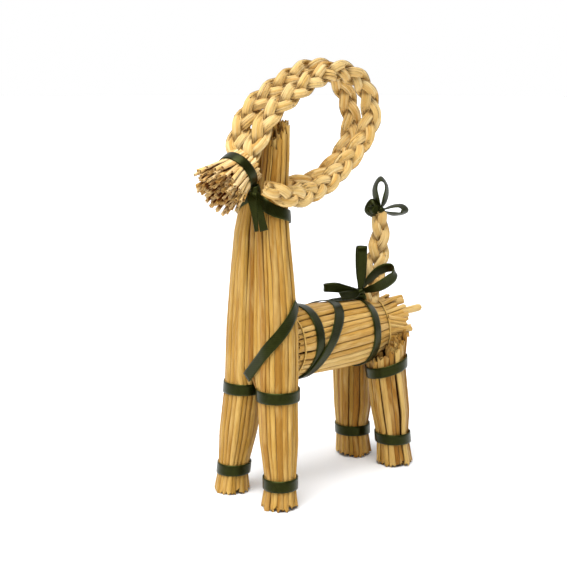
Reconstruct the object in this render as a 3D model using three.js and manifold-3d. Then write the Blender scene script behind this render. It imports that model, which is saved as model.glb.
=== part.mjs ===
// A standing goat made of bound rye straw, in millimetres, +Z up, facing -Y.
//
// Straw bundles are lofts: a fluted section, one flute to each straw on the outside, is carried along a line
// of stations. The plaits are three strands that weave along a curve, and every ribbon lies on the bundle
// that it ties. The goat is worked out about the middle of its feet, and moved at the end so that its origin
// is the middle of its box, on the ground.

import * as THREE from 'three';
import { mergeVertices } from 'three/addons/utils/BufferGeometryUtils.js';
import Module from 'manifold-3d';

const wasm = await Module();
wasm.setup();

// ---- Driving dimensions -------------------------------------------------------------------------------------

const CLEARANCE = 0.45; // between two pieces that touch
const ROOM_CLEARANCE = 0.5; // round a bundle, where a neighbour is cut to make room for it
const ROOM_STEPS = 12;
const GROOVE = 1; // how deep the groove between two straws is
const RIBBON_WIDTH = 6.35; // quarter-inch satin
const RIBBON_THICKNESS = 0.6;
const THREAD_THICKNESS = 1.1;
const PINCH = 3.6; // a tie holds the straws level for this far to each side of its middle
const LEG_RING_STEPS = 16; // facets round a ribbon that ties a leg
const BODY_RING_STEPS = 24;

const KNEE_HEIGHT = 62;
const FORK_HEIGHT = 65.5; // where the front bundle parts into two legs
const FRONT_ANKLE_HEIGHT = 14;
const REAR_ANKLE_HEIGHT = 17.5;
const REAR_TOP_HEIGHT = 60.2;

const BODY_HEIGHT = 86; // axis of the lying bundle at its front end
const BODY_FALL = 0.042; // how far the axis falls for each millimetre of length
const BODY_FRONT = -32.6;
const BODY_REAR = 58;

const MUZZLE_PITCH = THREE.MathUtils.degToRad(32); // below level
const MUZZLE_TIE = new THREE.Vector3(0, -62.8, 183.1);

const PLAIT_PERIOD = 41; // length in which one strand goes over and back
const PLAIT_SIDES = 10;
const PLAIT_STEPS = 10; // facets along one period

const STRAW_COLOUR = 0xcda560;
const PLAIT_COLOUR = 0xdcbc7e;
const RIBBON_COLOUR = 0x1c240e;
const RIBBON_ROUGHNESS = 0.35;
const THREAD_COLOUR = 0xd9b566;

const X = new THREE.Vector3(1, 0, 0);
const Y = new THREE.Vector3(0, 1, 0);
const Z = new THREE.Vector3(0, 0, 1);
const FORE = new THREE.Vector3(1, -1, 0).normalize(); // half left and half forward, the way that the bows face
const ASIDE = new THREE.Vector3(1, 1, 0).normalize();

// ---- Solids and meshes --------------------------------------------------------------------------------------

function toSolid(geometry) {
  const bare = geometry.clone();
  for (const name of Object.keys(bare.attributes)) {
    if (name !== 'position') bare.deleteAttribute(name);
  }
  const merged = mergeVertices(bare, 1e-4);
  return new wasm.Manifold(new wasm.Mesh({
    numProp: 3,
    vertProperties: new Float32Array(merged.attributes.position.array),
    triVerts: new Uint32Array(merged.index.array),
  }));
}

function toGeometry(solid) {
  const mesh = solid.getMesh();
  const geometry = new THREE.BufferGeometry();
  geometry.setAttribute('position', new THREE.BufferAttribute(mesh.vertProperties, 3));
  geometry.setIndex(new THREE.BufferAttribute(mesh.triVerts, 1));
  return geometry;
}

function join(solids) {
  return solids.reduce((whole, solid) => whole.add(solid));
}

function material(color, roughness) {
  return new THREE.MeshStandardMaterial({ color, roughness, metalness: 0 });
}

const goat = new THREE.Group();

function addPiece(name, solid, color, roughness = 0.6) {
  const mesh = new THREE.Mesh(toGeometry(solid), material(color, roughness));
  mesh.name = name;
  goat.add(mesh);
}

function addRibbon(name, solid) {
  addPiece(name, solid, RIBBON_COLOUR, RIBBON_ROUGHNESS);
}

// ---- Bundles ------------------------------------------------------------------------------------------------

// A bundle is { origin, u, v, stations }. Each station is a section: `along` the bundle's line, its centre
// moved by cu and cv, `spread` (half the flat of its oval), `radius` over the straws' crests, and `slope`, how
// far a slanting cut runs along the bundle for each millimetre across it.

function bundle(stations, origin = new THREE.Vector3(), u = X, v = Y) {
  const filled = stations.map((station) => ({ cu: 0, cv: 0, spread: 0, slope: 0, ...station }));
  return { origin, u, v, travel: new THREE.Vector3().crossVectors(u, v), stations: filled };
}

function sectionAt({ stations }, along) {
  const last = stations.length - 1;
  let i = 0;
  while (i < last - 1 && along > stations[i + 1].along) i += 1;
  const [low, high] = [stations[i], stations[i + 1]];
  const mix = THREE.MathUtils.clamp((along - low.along) / (high.along - low.along), 0, 1);
  const blend = (key) => THREE.MathUtils.lerp(low[key], high[key], mix);
  return { along, cu: blend('cu'), cv: blend('cv'), spread: blend('spread'), radius: blend('radius'), slope: 0 };
}

// A point on an oval made of two half circles and two flats, `turn` of the way round it from +u.
function ovalPoint(turn, spread, radius) {
  const quarter = (radius * Math.PI) / 2;
  const length = 4 * (quarter + spread);
  let rest = (((turn % 1) + 1) % 1) * length;
  const arc = (centre, start) => {
    const angle = start + rest / radius;
    const [c, s] = [Math.cos(angle), Math.sin(angle)];
    return { u: centre + radius * c, v: radius * s, nu: c, nv: s };
  };
  if (rest <= quarter) return arc(spread, 0);
  rest -= quarter;
  if (rest <= 2 * spread) return { u: spread - rest, v: radius, nu: 0, nv: 1 };
  rest -= 2 * spread;
  if (rest <= 2 * quarter) return arc(-spread, Math.PI / 2);
  rest -= 2 * quarter;
  if (rest <= 2 * spread) return { u: -spread + rest, v: -radius, nu: 0, nv: -1 };
  rest -= 2 * spread;
  return arc(spread, -Math.PI / 2);
}

function sectionPoint({ origin, u, v, travel }, section, turn, lift) {
  const rim = ovalPoint(turn, section.spread, section.radius);
  const [across, up] = [rim.u + rim.nu * lift, rim.v + rim.nv * lift];
  return origin.clone()
    .addScaledVector(u, section.cu + across)
    .addScaledVector(v, section.cv + up)
    .addScaledVector(travel, section.along + section.slope * up);
}

// The bundle as a solid, with a flute for each straw.
function bundleSolid(shape, straws, groove = GROOVE, grow = 0) {
  const { origin, u, v, travel, stations } = shape;
  const facets = 2 * straws;
  const rings = stations.length - 1;
  const geometry = new THREE.CylinderGeometry(1, 1, 1, facets, rings);
  const place = geometry.attributes.position;
  for (let i = 0; i < place.count; i += 1) {
    const [a, level, b] = [place.getX(i), place.getY(i) + 0.5, place.getZ(i)];
    const ring = Math.round(level * rings);
    const section = { ...stations[ring] };
    if (ring === 0) section.along -= grow;
    if (ring === rings) section.along += grow;
    if (Math.hypot(a, b) < 0.5) {
      const centre = origin.clone().addScaledVector(u, section.cu).addScaledVector(v, section.cv);
      centre.addScaledVector(travel, section.along);
      place.setXYZ(i, centre.x, centre.y, centre.z);
      continue;
    }
    const step = Math.round((Math.atan2(a, b) / (2 * Math.PI)) * facets + facets) % facets;
    const point = sectionPoint(shape, section, step / facets, grow - (step % 2) * groove);
    place.setXYZ(i, point.x, point.y, point.z);
  }
  return toSolid(geometry);
}

// The bundle without its flutes and swollen all round, to cut room for it in its neighbours.
function bundleRoom(shape) {
  return bundleSolid(shape, ROOM_STEPS, 0, ROOM_CLEARANCE);
}

// ---- Ribbons ------------------------------------------------------------------------------------------------

// A closed band. at(turn) gives its middle and the outward direction, and the band is square to both.
function closedBand(at, steps, width = RIBBON_WIDTH, thickness = RIBBON_THICKNESS) {
  const geometry = new THREE.TorusGeometry(1, 0.4, 4, steps);
  const place = geometry.attributes.position;
  const corners = [[1, -1], [1, 1], [-1, 1], [-1, -1], [1, -1]];
  for (let i = 0; i < place.count; i += 1) {
    const step = (i % (steps + 1)) % steps;
    const [outer, upper] = corners[Math.floor(i / (steps + 1))];
    const { point, out } = at(step / steps);
    const ahead = at((step + 0.5) / steps).point.sub(at((step - 0.5) / steps).point);
    const side = new THREE.Vector3().crossVectors(out, ahead).normalize();
    point.addScaledVector(out, (outer * thickness) / 2).addScaledVector(side, (upper * width) / 2);
    place.setXYZ(i, point.x, point.y, point.z);
  }
  return toSolid(geometry);
}

// A band with two ends, along at(t) from 0 to 1. at may also give the width there.
function openBand(at, steps, thickness = RIBBON_THICKNESS) {
  const geometry = new THREE.BoxGeometry(1, 1, 1, 1, 1, steps);
  const place = geometry.attributes.position;
  for (let i = 0; i < place.count; i += 1) {
    const t = place.getZ(i) + 0.5;
    const { point, out, width = RIBBON_WIDTH } = at(t);
    const ahead = at(Math.min(t + 0.01, 1)).point.sub(at(Math.max(t - 0.01, 0)).point);
    const side = new THREE.Vector3().crossVectors(out, ahead).normalize();
    point.addScaledVector(side, place.getX(i) * width).addScaledVector(out, place.getY(i) * thickness);
    place.setXYZ(i, point.x, point.y, point.z);
  }
  return toSolid(geometry);
}

// Where a band lies on a bundle: along(turn) is its place down the bundle, and it leans with the surface.
function onBundle(shape, along, thickness = RIBBON_THICKNESS, lift = () => CLEARANCE) {
  return (turn) => {
    const height = lift(turn) + thickness / 2;
    const at = (down, round) => sectionPoint(shape, sectionAt(shape, along(turn) + down), turn + round, height);
    const lengthways = at(RIBBON_WIDTH / 2, 0).sub(at(-RIBBON_WIDTH / 2, 0));
    const round = at(0, 0.01).sub(at(0, -0.01));
    return { point: at(0, 0), out: new THREE.Vector3().crossVectors(round, lengthways).normalize() };
  };
}

function tie(shape, along, steps = LEG_RING_STEPS, lift = undefined) {
  return closedBand(onBundle(shape, along, RIBBON_THICKNESS, lift), steps);
}

function threadRound(shape, along, grow = 0) {
  const at = onBundle(shape, along, THREAD_THICKNESS);
  return closedBand(at, BODY_RING_STEPS, THREAD_THICKNESS + grow, THREAD_THICKNESS + grow);
}

// A ribbon through the air, given by its two edges: how far each lies aside, up and in front of its knot.
function looseRibbon(tied, upper, lower, steps) {
  const edges = [upper, lower].map((edge) => new THREE.CatmullRomCurve3(edge.map(([aside, up, front]) => (
    tied.clone().addScaledVector(ASIDE, aside).addScaledVector(Z, up).addScaledVector(FORE, front)
  ))));
  return openBand((t) => {
    const [a, b] = edges.map((edge) => edge.getPoint(t));
    const ahead = edges[0].getTangent(t).add(edges[1].getTangent(t)).normalize();
    const across = a.clone().sub(b);
    across.addScaledVector(ahead, -across.dot(ahead));
    const out = new THREE.Vector3().crossVectors(ahead, across).normalize();
    return { point: a.lerp(b, 0.5), out, width: across.length() };
  }, steps);
}

function knot({ x, y, z }, size) {
  const geometry = new THREE.SphereGeometry(1, 6, 4);
  geometry.scale(...size);
  geometry.translate(x, y, z);
  return toSolid(geometry);
}

// ---- Plaits -------------------------------------------------------------------------------------------------

// How far out the skin of three woven strands lies, from the plait's middle, in a direction across it. Each
// strand swings over the plait's width once a period, and twice through its thickness.
function plaitReach(distance, direction, { swing, weave, radius }) {
  const [cu, cv] = [Math.cos(direction), Math.sin(direction)];
  const reaches = [0, 1 / 3, 2 / 3].map((phase) => {
    const angle = 2 * Math.PI * (distance / PLAIT_PERIOD + phase);
    const [u, v] = [swing * Math.sin(angle), weave * Math.sin(2 * angle)];
    const ahead = u * cu + v * cv;
    const aside = u * cv - v * cu;
    return ahead + Math.sqrt(Math.max(radius ** 2 - aside ** 2, 0));
  });
  return Math.max(...reaches);
}

// A plait along a curve. `thin` is the way through its thickness, and strands(t) gives their size and swing.
function plait(points, thin, strands) {
  const spine = new THREE.CatmullRomCurve3(points.map(([x, y, z]) => new THREE.Vector3(x, y, z)));
  const length = spine.getLength();
  const steps = Math.round((length / PLAIT_PERIOD) * PLAIT_STEPS);
  const geometry = new THREE.CylinderGeometry(1, 1, 1, PLAIT_SIDES, steps);
  const place = geometry.attributes.position;
  for (let i = 0; i < place.count; i += 1) {
    const [a, level, b] = [place.getX(i), place.getY(i) + 0.5, place.getZ(i)];
    const t = THREE.MathUtils.clamp(level, 0, 1);
    const point = spine.getPointAt(t);
    if (Math.hypot(a, b) > 0.5) {
      const ahead = spine.getTangentAt(t);
      const through = thin.clone().addScaledVector(ahead, -thin.dot(ahead)).normalize();
      const wide = new THREE.Vector3().crossVectors(through, ahead);
      const direction = Math.atan2(a, b);
      const reach = plaitReach(t * length, direction, strands(t));
      point.addScaledVector(wide, reach * Math.cos(direction)).addScaledVector(through, reach * Math.sin(direction));
    }
    place.setXYZ(i, point.x, point.y, point.z);
  }
  return toSolid(geometry);
}

// ---- Front bundle: the neck, parted below into the two front legs -----------------------------------------

const frontLegs = [1, -1].map((side) => bundle([
  { along: 0, cu: 19.4 * side, cv: -50.7, radius: 11 },
  { along: FRONT_ANKLE_HEIGHT - PINCH, cu: 19.2 * side, cv: -50.1, radius: 9.4 },
  { along: FRONT_ANKLE_HEIGHT + PINCH, cu: 18.6 * side, cv: -49.6, radius: 9.4 },
  { along: 36, cu: 16.2 * side, cv: -48.1, radius: 11.5 },
  { along: KNEE_HEIGHT - PINCH, cu: 13.6 * side, cv: -46.5, radius: 11.8 },
  { along: KNEE_HEIGHT + PINCH, cu: 13.2 * side, cv: -46, radius: 11.8 },
  { along: 73, cu: 12.6 * side, cv: -45.5, radius: 11 },
]));

const neck = bundle([
  { along: FORK_HEIGHT, cv: -45.8, spread: 12.9, radius: 12.1 },
  { along: 96, cv: -45, spread: 12.2, radius: 12 },
  { along: 125, cv: -45, spread: 10.1, radius: 11.2 },
  { along: 150, cv: -45, spread: 7.8, radius: 10.3 },
  { along: 168, cv: -43.3, spread: 5.8, radius: 9.2 },
  { along: 190, cv: -41, spread: 6, radius: 8.4 },
  { along: 206, cv: -40.6, spread: 6.4, radius: 8, slope: 1.15 },
]);

const legStraws = 18;
const neckStraws = 24;
const frontBundle = join([bundleSolid(neck, neckStraws), ...frontLegs.map((leg) => bundleSolid(leg, legStraws))]);
addPiece('neck_and_front_legs', frontBundle, STRAW_COLOUR);

// ---- Body bundle --------------------------------------------------------------------------------------------

const bodyStation = (along, radius) => ({ along, radius, cv: (along - BODY_FRONT) * BODY_FALL });
const body = bundle([
  bodyStation(BODY_FRONT, 19.7),
  bodyStation(-26, 20.7),
  bodyStation(12, 20.7),
  bodyStation(32, 20),
  bodyStation(44, 17.2),
  bodyStation(BODY_REAR, 18.2),
], new THREE.Vector3(0, 0, BODY_HEIGHT), X, Z.clone().negate());

// Height round the lying bundle: 1 on top, -1 underneath.
const upness = (turn) => -Math.sin(2 * Math.PI * turn);

// Straws that stand out of the rump: where each leaves the bundle's end, how far back it reaches and its drift.
const RUMP_STRAWS = [
  { x: 8, z: 91, reach: 83, rise: 1 },
  { x: 5.5, z: 95.5, reach: 71, rise: 1 },
  { x: 1, z: 97.5, reach: 76, rise: 1 },
  { x: -4, z: 96, reach: 68, rise: 1 },
  { x: -9, z: 91, reach: 72, rise: 0 },
  { x: 12.5, z: 81, reach: 65, rise: -2 },
  { x: 11, z: 75, reach: 63, rise: -2 },
  { x: -12.5, z: 81, reach: 64, rise: -2 },
  { x: -10, z: 75, reach: 66, rise: -2 },
  { x: 0, z: 72, reach: 64, rise: -2 },
  { x: 0, z: 84, reach: 62, rise: 0 },
];

function rumpStraw({ x, z, reach, rise }) {
  const start = new THREE.Vector3(x, BODY_REAR - 6, z);
  const end = new THREE.Vector3(x, reach, z + rise);
  const ahead = end.clone().sub(start);
  const geometry = new THREE.CylinderGeometry(2, 2, ahead.length(), 6);
  geometry.applyQuaternion(new THREE.Quaternion().setFromUnitVectors(Y, ahead.clone().normalize()));
  geometry.translate(...start.add(end).multiplyScalar(0.5).toArray());
  return toSolid(geometry);
}

const bodyStraws = 30;
addPiece('body_bundle', join([bundleSolid(body, bodyStraws), ...RUMP_STRAWS.map(rumpStraw)]), STRAW_COLOUR);

// ---- Rear legs: their tops are hollowed to fit under the body ----------------------------------------------

const rearTurn = (turn) => 29.5 + 5.5 * Math.max(0, upness(turn)) ** 2;
const rearThread = (turn) => 44 + 5.5 * ((1 + upness(turn)) / 2) ** 8;
const bodyRoom = bundleRoom(body);
const tiesRoom = join([
  threadRound(body, rearThread, 2 * CLEARANCE),
  closedBand(onBundle(body, rearTurn), BODY_RING_STEPS, RIBBON_WIDTH + 2 * CLEARANCE,
    RIBBON_THICKNESS + 2 * CLEARANCE),
]);
const rearLegs = [[1, 53.2], [-1, 49.4]].map(([side, foot]) => bundle([
  { along: 0, cu: 15.1 * side, cv: foot, radius: 12 },
  { along: REAR_ANKLE_HEIGHT - PINCH, cu: 14.9 * side, cv: foot - 1.7, radius: 10.7 },
  { along: REAR_ANKLE_HEIGHT + PINCH, cu: 14.7 * side, cv: foot - 2.5, radius: 10.7 },
  { along: 34, cu: 14.6 * side, cv: foot / 2 + 22.5, radius: 12.3 },
  { along: REAR_TOP_HEIGHT + PINCH, cu: 14 * side, cv: 44.8, radius: 12.4 },
  { along: 76, cu: 13.9 * side, cv: 44.5, radius: 12.4, slope: 0.75 },
]));
rearLegs.forEach((leg, i) => {
  const solid = bundleSolid(leg, legStraws).subtract(bodyRoom).subtract(tiesRoom);
  addPiece(`rear_${['left', 'right'][i]}_leg`, solid, STRAW_COLOUR);
});

// ---- Muzzle: a short brush of cut straw in front of the neck ----------------------------------------------

const muzzleUp = new THREE.Vector3(0, -Math.sin(MUZZLE_PITCH), Math.cos(MUZZLE_PITCH));
const muzzle = bundle([
  { along: -8, radius: 10.9 },
  { along: PINCH, radius: 11.1 },
  { along: 17.8, radius: 15.7 },
], MUZZLE_TIE, X, muzzleUp);
const muzzleStraws = 20;
const muzzleSolid = bundleSolid(muzzle, muzzleStraws).subtract(bundleRoom(neck));
addPiece('muzzle_bundle', muzzleSolid, STRAW_COLOUR);

// ---- Horns and tail -----------------------------------------------------------------------------------------

// Each horn rises from behind the muzzle, loops back over the neck and returns to the neck's side.
const LEFT_HORN = [
  [4.5, -60.1, 187.5], [7.5, -56.1, 198.7], [9, -46.8, 213.8], [9.8, -25, 227.4], [9, 0, 236.8], [9, 14, 236],
  [8.5, 28, 228], [8.5, 34.6, 214], [8.7, 29, 201], [10, 13, 186.5], [13.5, -13, 173.6], [18.2, -35, 169.8],
  [19, -47, 171.5], [15.4, -57.6, 176],
];
const RIGHT_HORN = [
  [-6, -58, 188], [-9, -55, 198.9], [-10, -45.5, 214], [-9.8, -27, 226.6], [-9, -3, 237], [-9, 14, 238],
  [-8.5, 26, 231], [-8.5, 34, 218], [-8.5, 36.4, 205], [-8.9, 28, 188.5], [-11, 11, 176], [-13.5, -8, 172.6],
  [-18, -34, 171.5], [-19, -47, 173], [-15.4, -57.6, 176.5],
];
const hornStrands = (t) => {
  const full = THREE.MathUtils.smoothstep(Math.min(t, 1 - t), -0.04, 0.05);
  return { swing: 2.9 * full, weave: 1.4, radius: 2.7 };
};
const muzzleRoom = bundleRoom(muzzle);
addPiece('left_horn_plait', plait(LEFT_HORN, FORE, hornStrands).subtract(muzzleRoom), PLAIT_COLOUR);
addPiece('right_horn_plait', plait(RIGHT_HORN, FORE, hornStrands).subtract(muzzleRoom), PLAIT_COLOUR);

const TAIL = [[0, 45.4, 101.6], [0, 46.6, 110], [0, 49.4, 119], [0, 52.6, 130.3], [0, 54, 140], [0, 53.6, 150.9]];
const tailStrands = (t) => {
  const full = Math.sin(Math.PI * THREE.MathUtils.clamp(0.12 + 0.88 * t, 0, 1));
  return { swing: 1.4 + 3 * full, weave: 1.4, radius: 2 + 0.7 * full };
};
addPiece('tail_plait', plait(TAIL, FORE, tailStrands), PLAIT_COLOUR);

// ---- Ribbons that tie the bundles --------------------------------------------------------------------------

const sides = ['left', 'right'];
frontLegs.forEach((leg, i) => {
  addRibbon(`front_${sides[i]}_ankle_ribbon`, tie(leg, () => FRONT_ANKLE_HEIGHT));
  addRibbon(`front_${sides[i]}_knee_ribbon`, tie(leg, () => KNEE_HEIGHT));
});
// The rear legs' top ribbons lean: `highest` is the direction round the leg in which they stand highest.
const REAR_TOPS = [{ middle: 62.4, lean: 3.8, highest: 0.153 }, { middle: 65.8, lean: 2, highest: 0.347 }];
rearLegs.forEach((leg, i) => {
  const { middle, lean, highest } = REAR_TOPS[i];
  const top = tie(leg, (turn) => middle + lean * Math.cos(2 * Math.PI * (turn - highest)), LEG_RING_STEPS, () => 0.7);
  addRibbon(`rear_${sides[i]}_ankle_ribbon`, tie(leg, () => REAR_ANKLE_HEIGHT));
  addRibbon(`rear_${sides[i]}_top_ribbon`, top.subtract(bodyRoom).subtract(tiesRoom));
});

// One ribbon goes round the body behind the neck, and its other turn slants back to the bow on the rump.
const FRONT_TURN = { top: -17, under: -23, bend: 1 };
const SLANT_TURN = { top: 9, under: -23, bend: 1.6 };
const turnRound = ({ top, under, bend }) => (turn) => (
  THREE.MathUtils.lerp(under, top, ((1 + upness(turn)) / 2) ** bend)
);
const frontRibbon = tie(body, turnRound(FRONT_TURN), BODY_RING_STEPS);
const overFront = CLEARANCE + RIBBON_THICKNESS;
const slantRibbon = tie(
  body,
  turnRound(SLANT_TURN),
  BODY_RING_STEPS,
  (turn) => CLEARANCE + 0.15 + overFront * THREE.MathUtils.smoothstep(-upness(turn), -0.6, 0),
);
addRibbon('body_front_ribbon', frontRibbon);
addRibbon('body_slant_ribbon', slantRibbon);
addRibbon('rear_body_ribbon', tie(body, rearTurn, BODY_RING_STEPS));
addPiece('body_front_thread', threadRound(body, () => BODY_FRONT + 1.2), THREAD_COLOUR);
addPiece('body_rear_thread', threadRound(body, rearThread), THREAD_COLOUR);

// The chest ribbon slants over the left of the front bundle, from the fork up to where the body meets the neck.
const chestAt = (t) => {
  const turn = THREE.MathUtils.lerp(-0.245, 0.045, t);
  const along = THREE.MathUtils.lerp(71, 113, t);
  return onBundle(neck, () => along)(turn);
};
addRibbon('chest_ribbon', openBand(chestAt, 10));

// The neck ribbon dips behind the neck, and the muzzle ribbon ties the brush and the horns' roots.
const neckHeight = (turn) => {
  const back = Math.sin(2 * Math.PI * turn);
  return 161 - 4 * back + 5 * Math.max(0, -back) ** 3;
};
addRibbon('neck_ribbon', tie(neck, neckHeight, BODY_RING_STEPS, () => 0.7));

const muzzleKnot = new THREE.Vector3(8.3, -57.7, 173.8);
addRibbon('muzzle_ribbon', join([
  tie(muzzle, () => 0),
  knot(muzzleKnot, [3, 2.8, 4.6]).subtract(muzzleRoom),
  looseRibbon(
    muzzleKnot,
    [[-1.5, 0.5, 1.5], [-4.3, -2.7, 2.6], [-3.2, -7.5, 3], [-1.6, -14.5, 3], [-0.6, -21.5, 2.6]],
    [[1.5, 0.5, 1.5], [0.9, -3, 3.2], [1.2, -8, 3.6], [1.5, -15, 3.2], [1.6, -21.2, 2]],
    5,
  ),
  looseRibbon(
    muzzleKnot,
    [[-0.6, 0, 2], [0.4, -4.5, 3.4], [1, -9.5, 4], [1.4, -15, 3.8], [2.3, -21.6, 3.6]],
    [[2, 0, 1], [3, -4.5, 2.4], [4, -9.5, 3], [5.2, -15.2, 2.6], [6.6, -20.3, 2]],
    5,
  ),
]));

// ---- Bows ---------------------------------------------------------------------------------------------------

const rumpKnot = new THREE.Vector3(0.8, 35.4, 107.4);
const rumpLoops = {
  upright: [
    [[-1.2, 0.5, 1], [-2.2, 10, 2.2], [-2.2, 20, 2.4], [-2, 26, 2.2], [-2.2, 27.9, 0.5], [-2.8, 26.3, -1.3],
      [-3, 18, -1.6], [-2.4, 9, -1.2], [-0.8, 0.5, 0]],
    [[1.2, 0.5, 1], [3.4, 10, 1.6], [3.9, 20, 1.6], [3.9, 25.5, 1.4], [3.9, 27.6, -0.2], [3.5, 26, -2],
      [3.2, 18, -2.3], [2.8, 9, -1.8], [1, 0.5, 0]],
  ],
  rear: [
    [[0, 1.2, 0.8], [2.8, 6.4, 1], [5.9, 11, 1.2], [9.3, 14.4, 1.2], [12.8, 16.3, 1.2], [16.9, 17, 2], [19, 15.8, 3.6],
      [18.4, 13.4, 5.4], [16.3, 11.7, 6], [12.8, 9, 5.8], [9.3, 6.5, 5.2], [4.5, 3.8, 3.6], [0, 1, 1.2]],
    [[0.5, -0.5, 0], [4.5, 3.4, -1.2], [7.6, 5.4, -2], [11.4, 8.8, -2.2], [15, 10.6, -2.2], [18, 11.4, -2],
      [20.8, 11, -0.8], [21.4, 9, 1.6], [20, 6.2, 2.3], [16.8, 3.4, 2.5], [12.8, 1.1, 2.4], [6.6, -0.2, 1.8],
      [0.3, -0.8, 0.4]],
  ],
  front: [
    [[-0.5, 1.2, 0.5], [-7.2, 3.2, 2.5], [-10.7, 4.6, 3], [-15.6, 5.7, 3.5], [-20.6, 5, 3.6], [-21.8, 4.9, 2.6],
      [-20.4, 5.2, 1.4], [-14, 5.4, 0.6], [-8, 3.6, 0], [-0.5, 1.2, -0.6]],
    [[-0.5, -0.6, 1], [-8, -1.2, 3.5], [-11, -0.5, 4], [-15.6, 0.1, 4.5], [-20.4, 0.3, 4.5], [-21.5, 0.3, 3.4],
      [-20, 0.4, 2.2], [-14, 0.1, 1.4], [-8, -1, 0.6], [-0.5, -0.6, -0.2]],
  ],
};
const rumpTails = [
  [[[-0.5, 1, 1.5], [-4, 1.6, 4], [-9.9, 1.8, 8], [-12.6, 1.7, 9.8]],
    [[-0.3, -0.8, 2.5], [-3.1, -2.1, 7.5], [-8.2, -2.1, 12], [-12.4, -2, 14.5]]],
  [[[-0.5, 0, 1], [-6.3, -1.3, 5.5], [-14, -1.3, 11], [-17, -1.3, 14]],
    [[0.5, -0.4, 2.5], [-3.5, -2.1, 8.5], [-9.5, -2.1, 14.5], [-12.3, -1.9, 17.6]]],
];
addRibbon('rump_bow', join([
  knot(rumpKnot, [3.2, 3.4, 2.6]),
  looseRibbon(rumpKnot, ...rumpLoops.upright, 12),
  looseRibbon(rumpKnot, ...rumpLoops.rear, 14),
  looseRibbon(rumpKnot, ...rumpLoops.front, 12),
  ...rumpTails.map(([upper, lower]) => looseRibbon(rumpKnot, upper, lower, 5)),
]));

const tailKnot = new THREE.Vector3(0.3, 53.8, 154.8);
const tailLoops = {
  upright: [
    [[-0.3, 0, -1.5], [-3.8, 5, -2.5], [-5.3, 11.2, -2.8], [-3.9, 16.8, -2.8], [0, 20.6, -2.8], [4, 16.8, -2.8],
      [5.4, 11.8, -2.8], [4.2, 5, -2.5], [0.5, 0, -1.5]],
    [[0, 0.8, 1.5], [-1.4, 7.4, 2.2], [-2.8, 13, 2.6], [-2.2, 16.5, 2.6], [0, 18, 2.6], [2.2, 16.5, 2.6],
      [2.7, 13, 2.6], [1.2, 7.4, 2.2], [0, 0.8, 1.5]],
  ],
  rear: [
    [[0.3, 0.4, -1], [7.4, 3.3, -2.4], [12, 3.9, -2.6], [15.5, 2.7, -2.6], [17.5, -0.4, -2.6], [15.5, -2.6, -2.6],
      [12.6, -3.7, -2.6], [7.5, -3.9, -2.4], [0.3, -0.6, -1]],
    [[0.3, 0.4, 1.5], [7.4, 2.1, 2.4], [9.9, 2.4, 2.6], [12.2, 1.4, 2.6], [13.2, -0.5, 2.6], [12.4, -1.3, 2.6],
      [10.3, -1.7, 2.6], [7.4, -1.3, 2.4], [0.3, -0.4, 1.5]],
  ],
  front: [
    [[-0.3, 1.3, -1], [-3, 5.2, -1.3], [-5.9, 6.4, -1.3], [-8.2, 3.8, -1.3], [-9.4, 0, -1.3], [-7.5, -2.8, -1.3],
      [-5, -3.8, -1.3], [-1, -1.6, -1]],
    [[-0.3, 0.6, 1.5], [-1.8, 2.2, 3], [-3.2, 2.6, 3.4], [-4.2, 1.6, 3.6], [-4.6, 0.2, 3.6], [-4, -1, 3.4],
      [-3, -1.3, 3], [-0.5, -0.6, 1.5]],
  ],
};
addRibbon('tail_bow', join([
  knot(tailKnot, [2.4, 2.4, 2.1]),
  looseRibbon(tailKnot, ...tailLoops.upright, 10),
  looseRibbon(tailKnot, ...tailLoops.rear, 10),
  looseRibbon(tailKnot, ...tailLoops.front, 9),
]));

// ---- Placing ------------------------------------------------------------------------------------------------

const box = new THREE.Box3().setFromObject(goat, true);
goat.position.set(-(box.min.x + box.max.x) / 2, -(box.min.y + box.max.y) / 2, 0);

export default goat;
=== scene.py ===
"""A standing straw goat: bound rye straw, plaited horns and tail, and satin ribbon.

The goat is worked out in millimetres about the middle of its feet, facing -Y, with its left at +X, and every
mesh is then moved into the frame, in metres. Straws are swept tubes, laid along the lofts that give each
bundle its form, and the plaits are three strands of flattened straws.
"""

import logging
import math
import random
from dataclasses import dataclass, field
from enum import Enum
from functools import lru_cache
from typing import Callable

import bmesh
import bpy
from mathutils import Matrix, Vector

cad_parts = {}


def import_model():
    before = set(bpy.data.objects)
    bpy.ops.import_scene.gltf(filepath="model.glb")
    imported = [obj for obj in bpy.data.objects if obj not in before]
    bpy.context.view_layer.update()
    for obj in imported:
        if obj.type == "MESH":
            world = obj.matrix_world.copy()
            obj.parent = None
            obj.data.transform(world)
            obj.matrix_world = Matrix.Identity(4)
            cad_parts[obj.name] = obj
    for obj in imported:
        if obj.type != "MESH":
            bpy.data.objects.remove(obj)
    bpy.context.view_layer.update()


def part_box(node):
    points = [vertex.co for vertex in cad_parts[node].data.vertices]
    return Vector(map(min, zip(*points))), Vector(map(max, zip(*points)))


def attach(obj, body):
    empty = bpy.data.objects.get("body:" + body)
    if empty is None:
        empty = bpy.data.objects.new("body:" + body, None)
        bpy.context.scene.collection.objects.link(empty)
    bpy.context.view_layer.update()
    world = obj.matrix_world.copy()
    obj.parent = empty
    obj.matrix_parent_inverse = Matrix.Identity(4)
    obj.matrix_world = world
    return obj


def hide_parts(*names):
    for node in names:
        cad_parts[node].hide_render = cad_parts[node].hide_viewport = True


LOG = logging.getLogger("straw_goat")
MM = 0.001
TAU = 2 * math.pi

X = Vector((1, 0, 0))
Y = Vector((0, 1, 0))
Z = Vector((0, 0, 1))

# A bow's own directions: aside to the goat's left and rear, and fore to its left and front.
ASIDE = Vector((0.7046, 0.7096, 0))
FORE = Vector((0.7096, -0.7046, 0))

RIBBON_UV = "across_and_along"

Route = tuple[list[Vector], list[Vector]]
Edge = tuple[tuple[float, float, float], ...]


# ---- Small sums ---------------------------------------------------------------------------------------------


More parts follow.
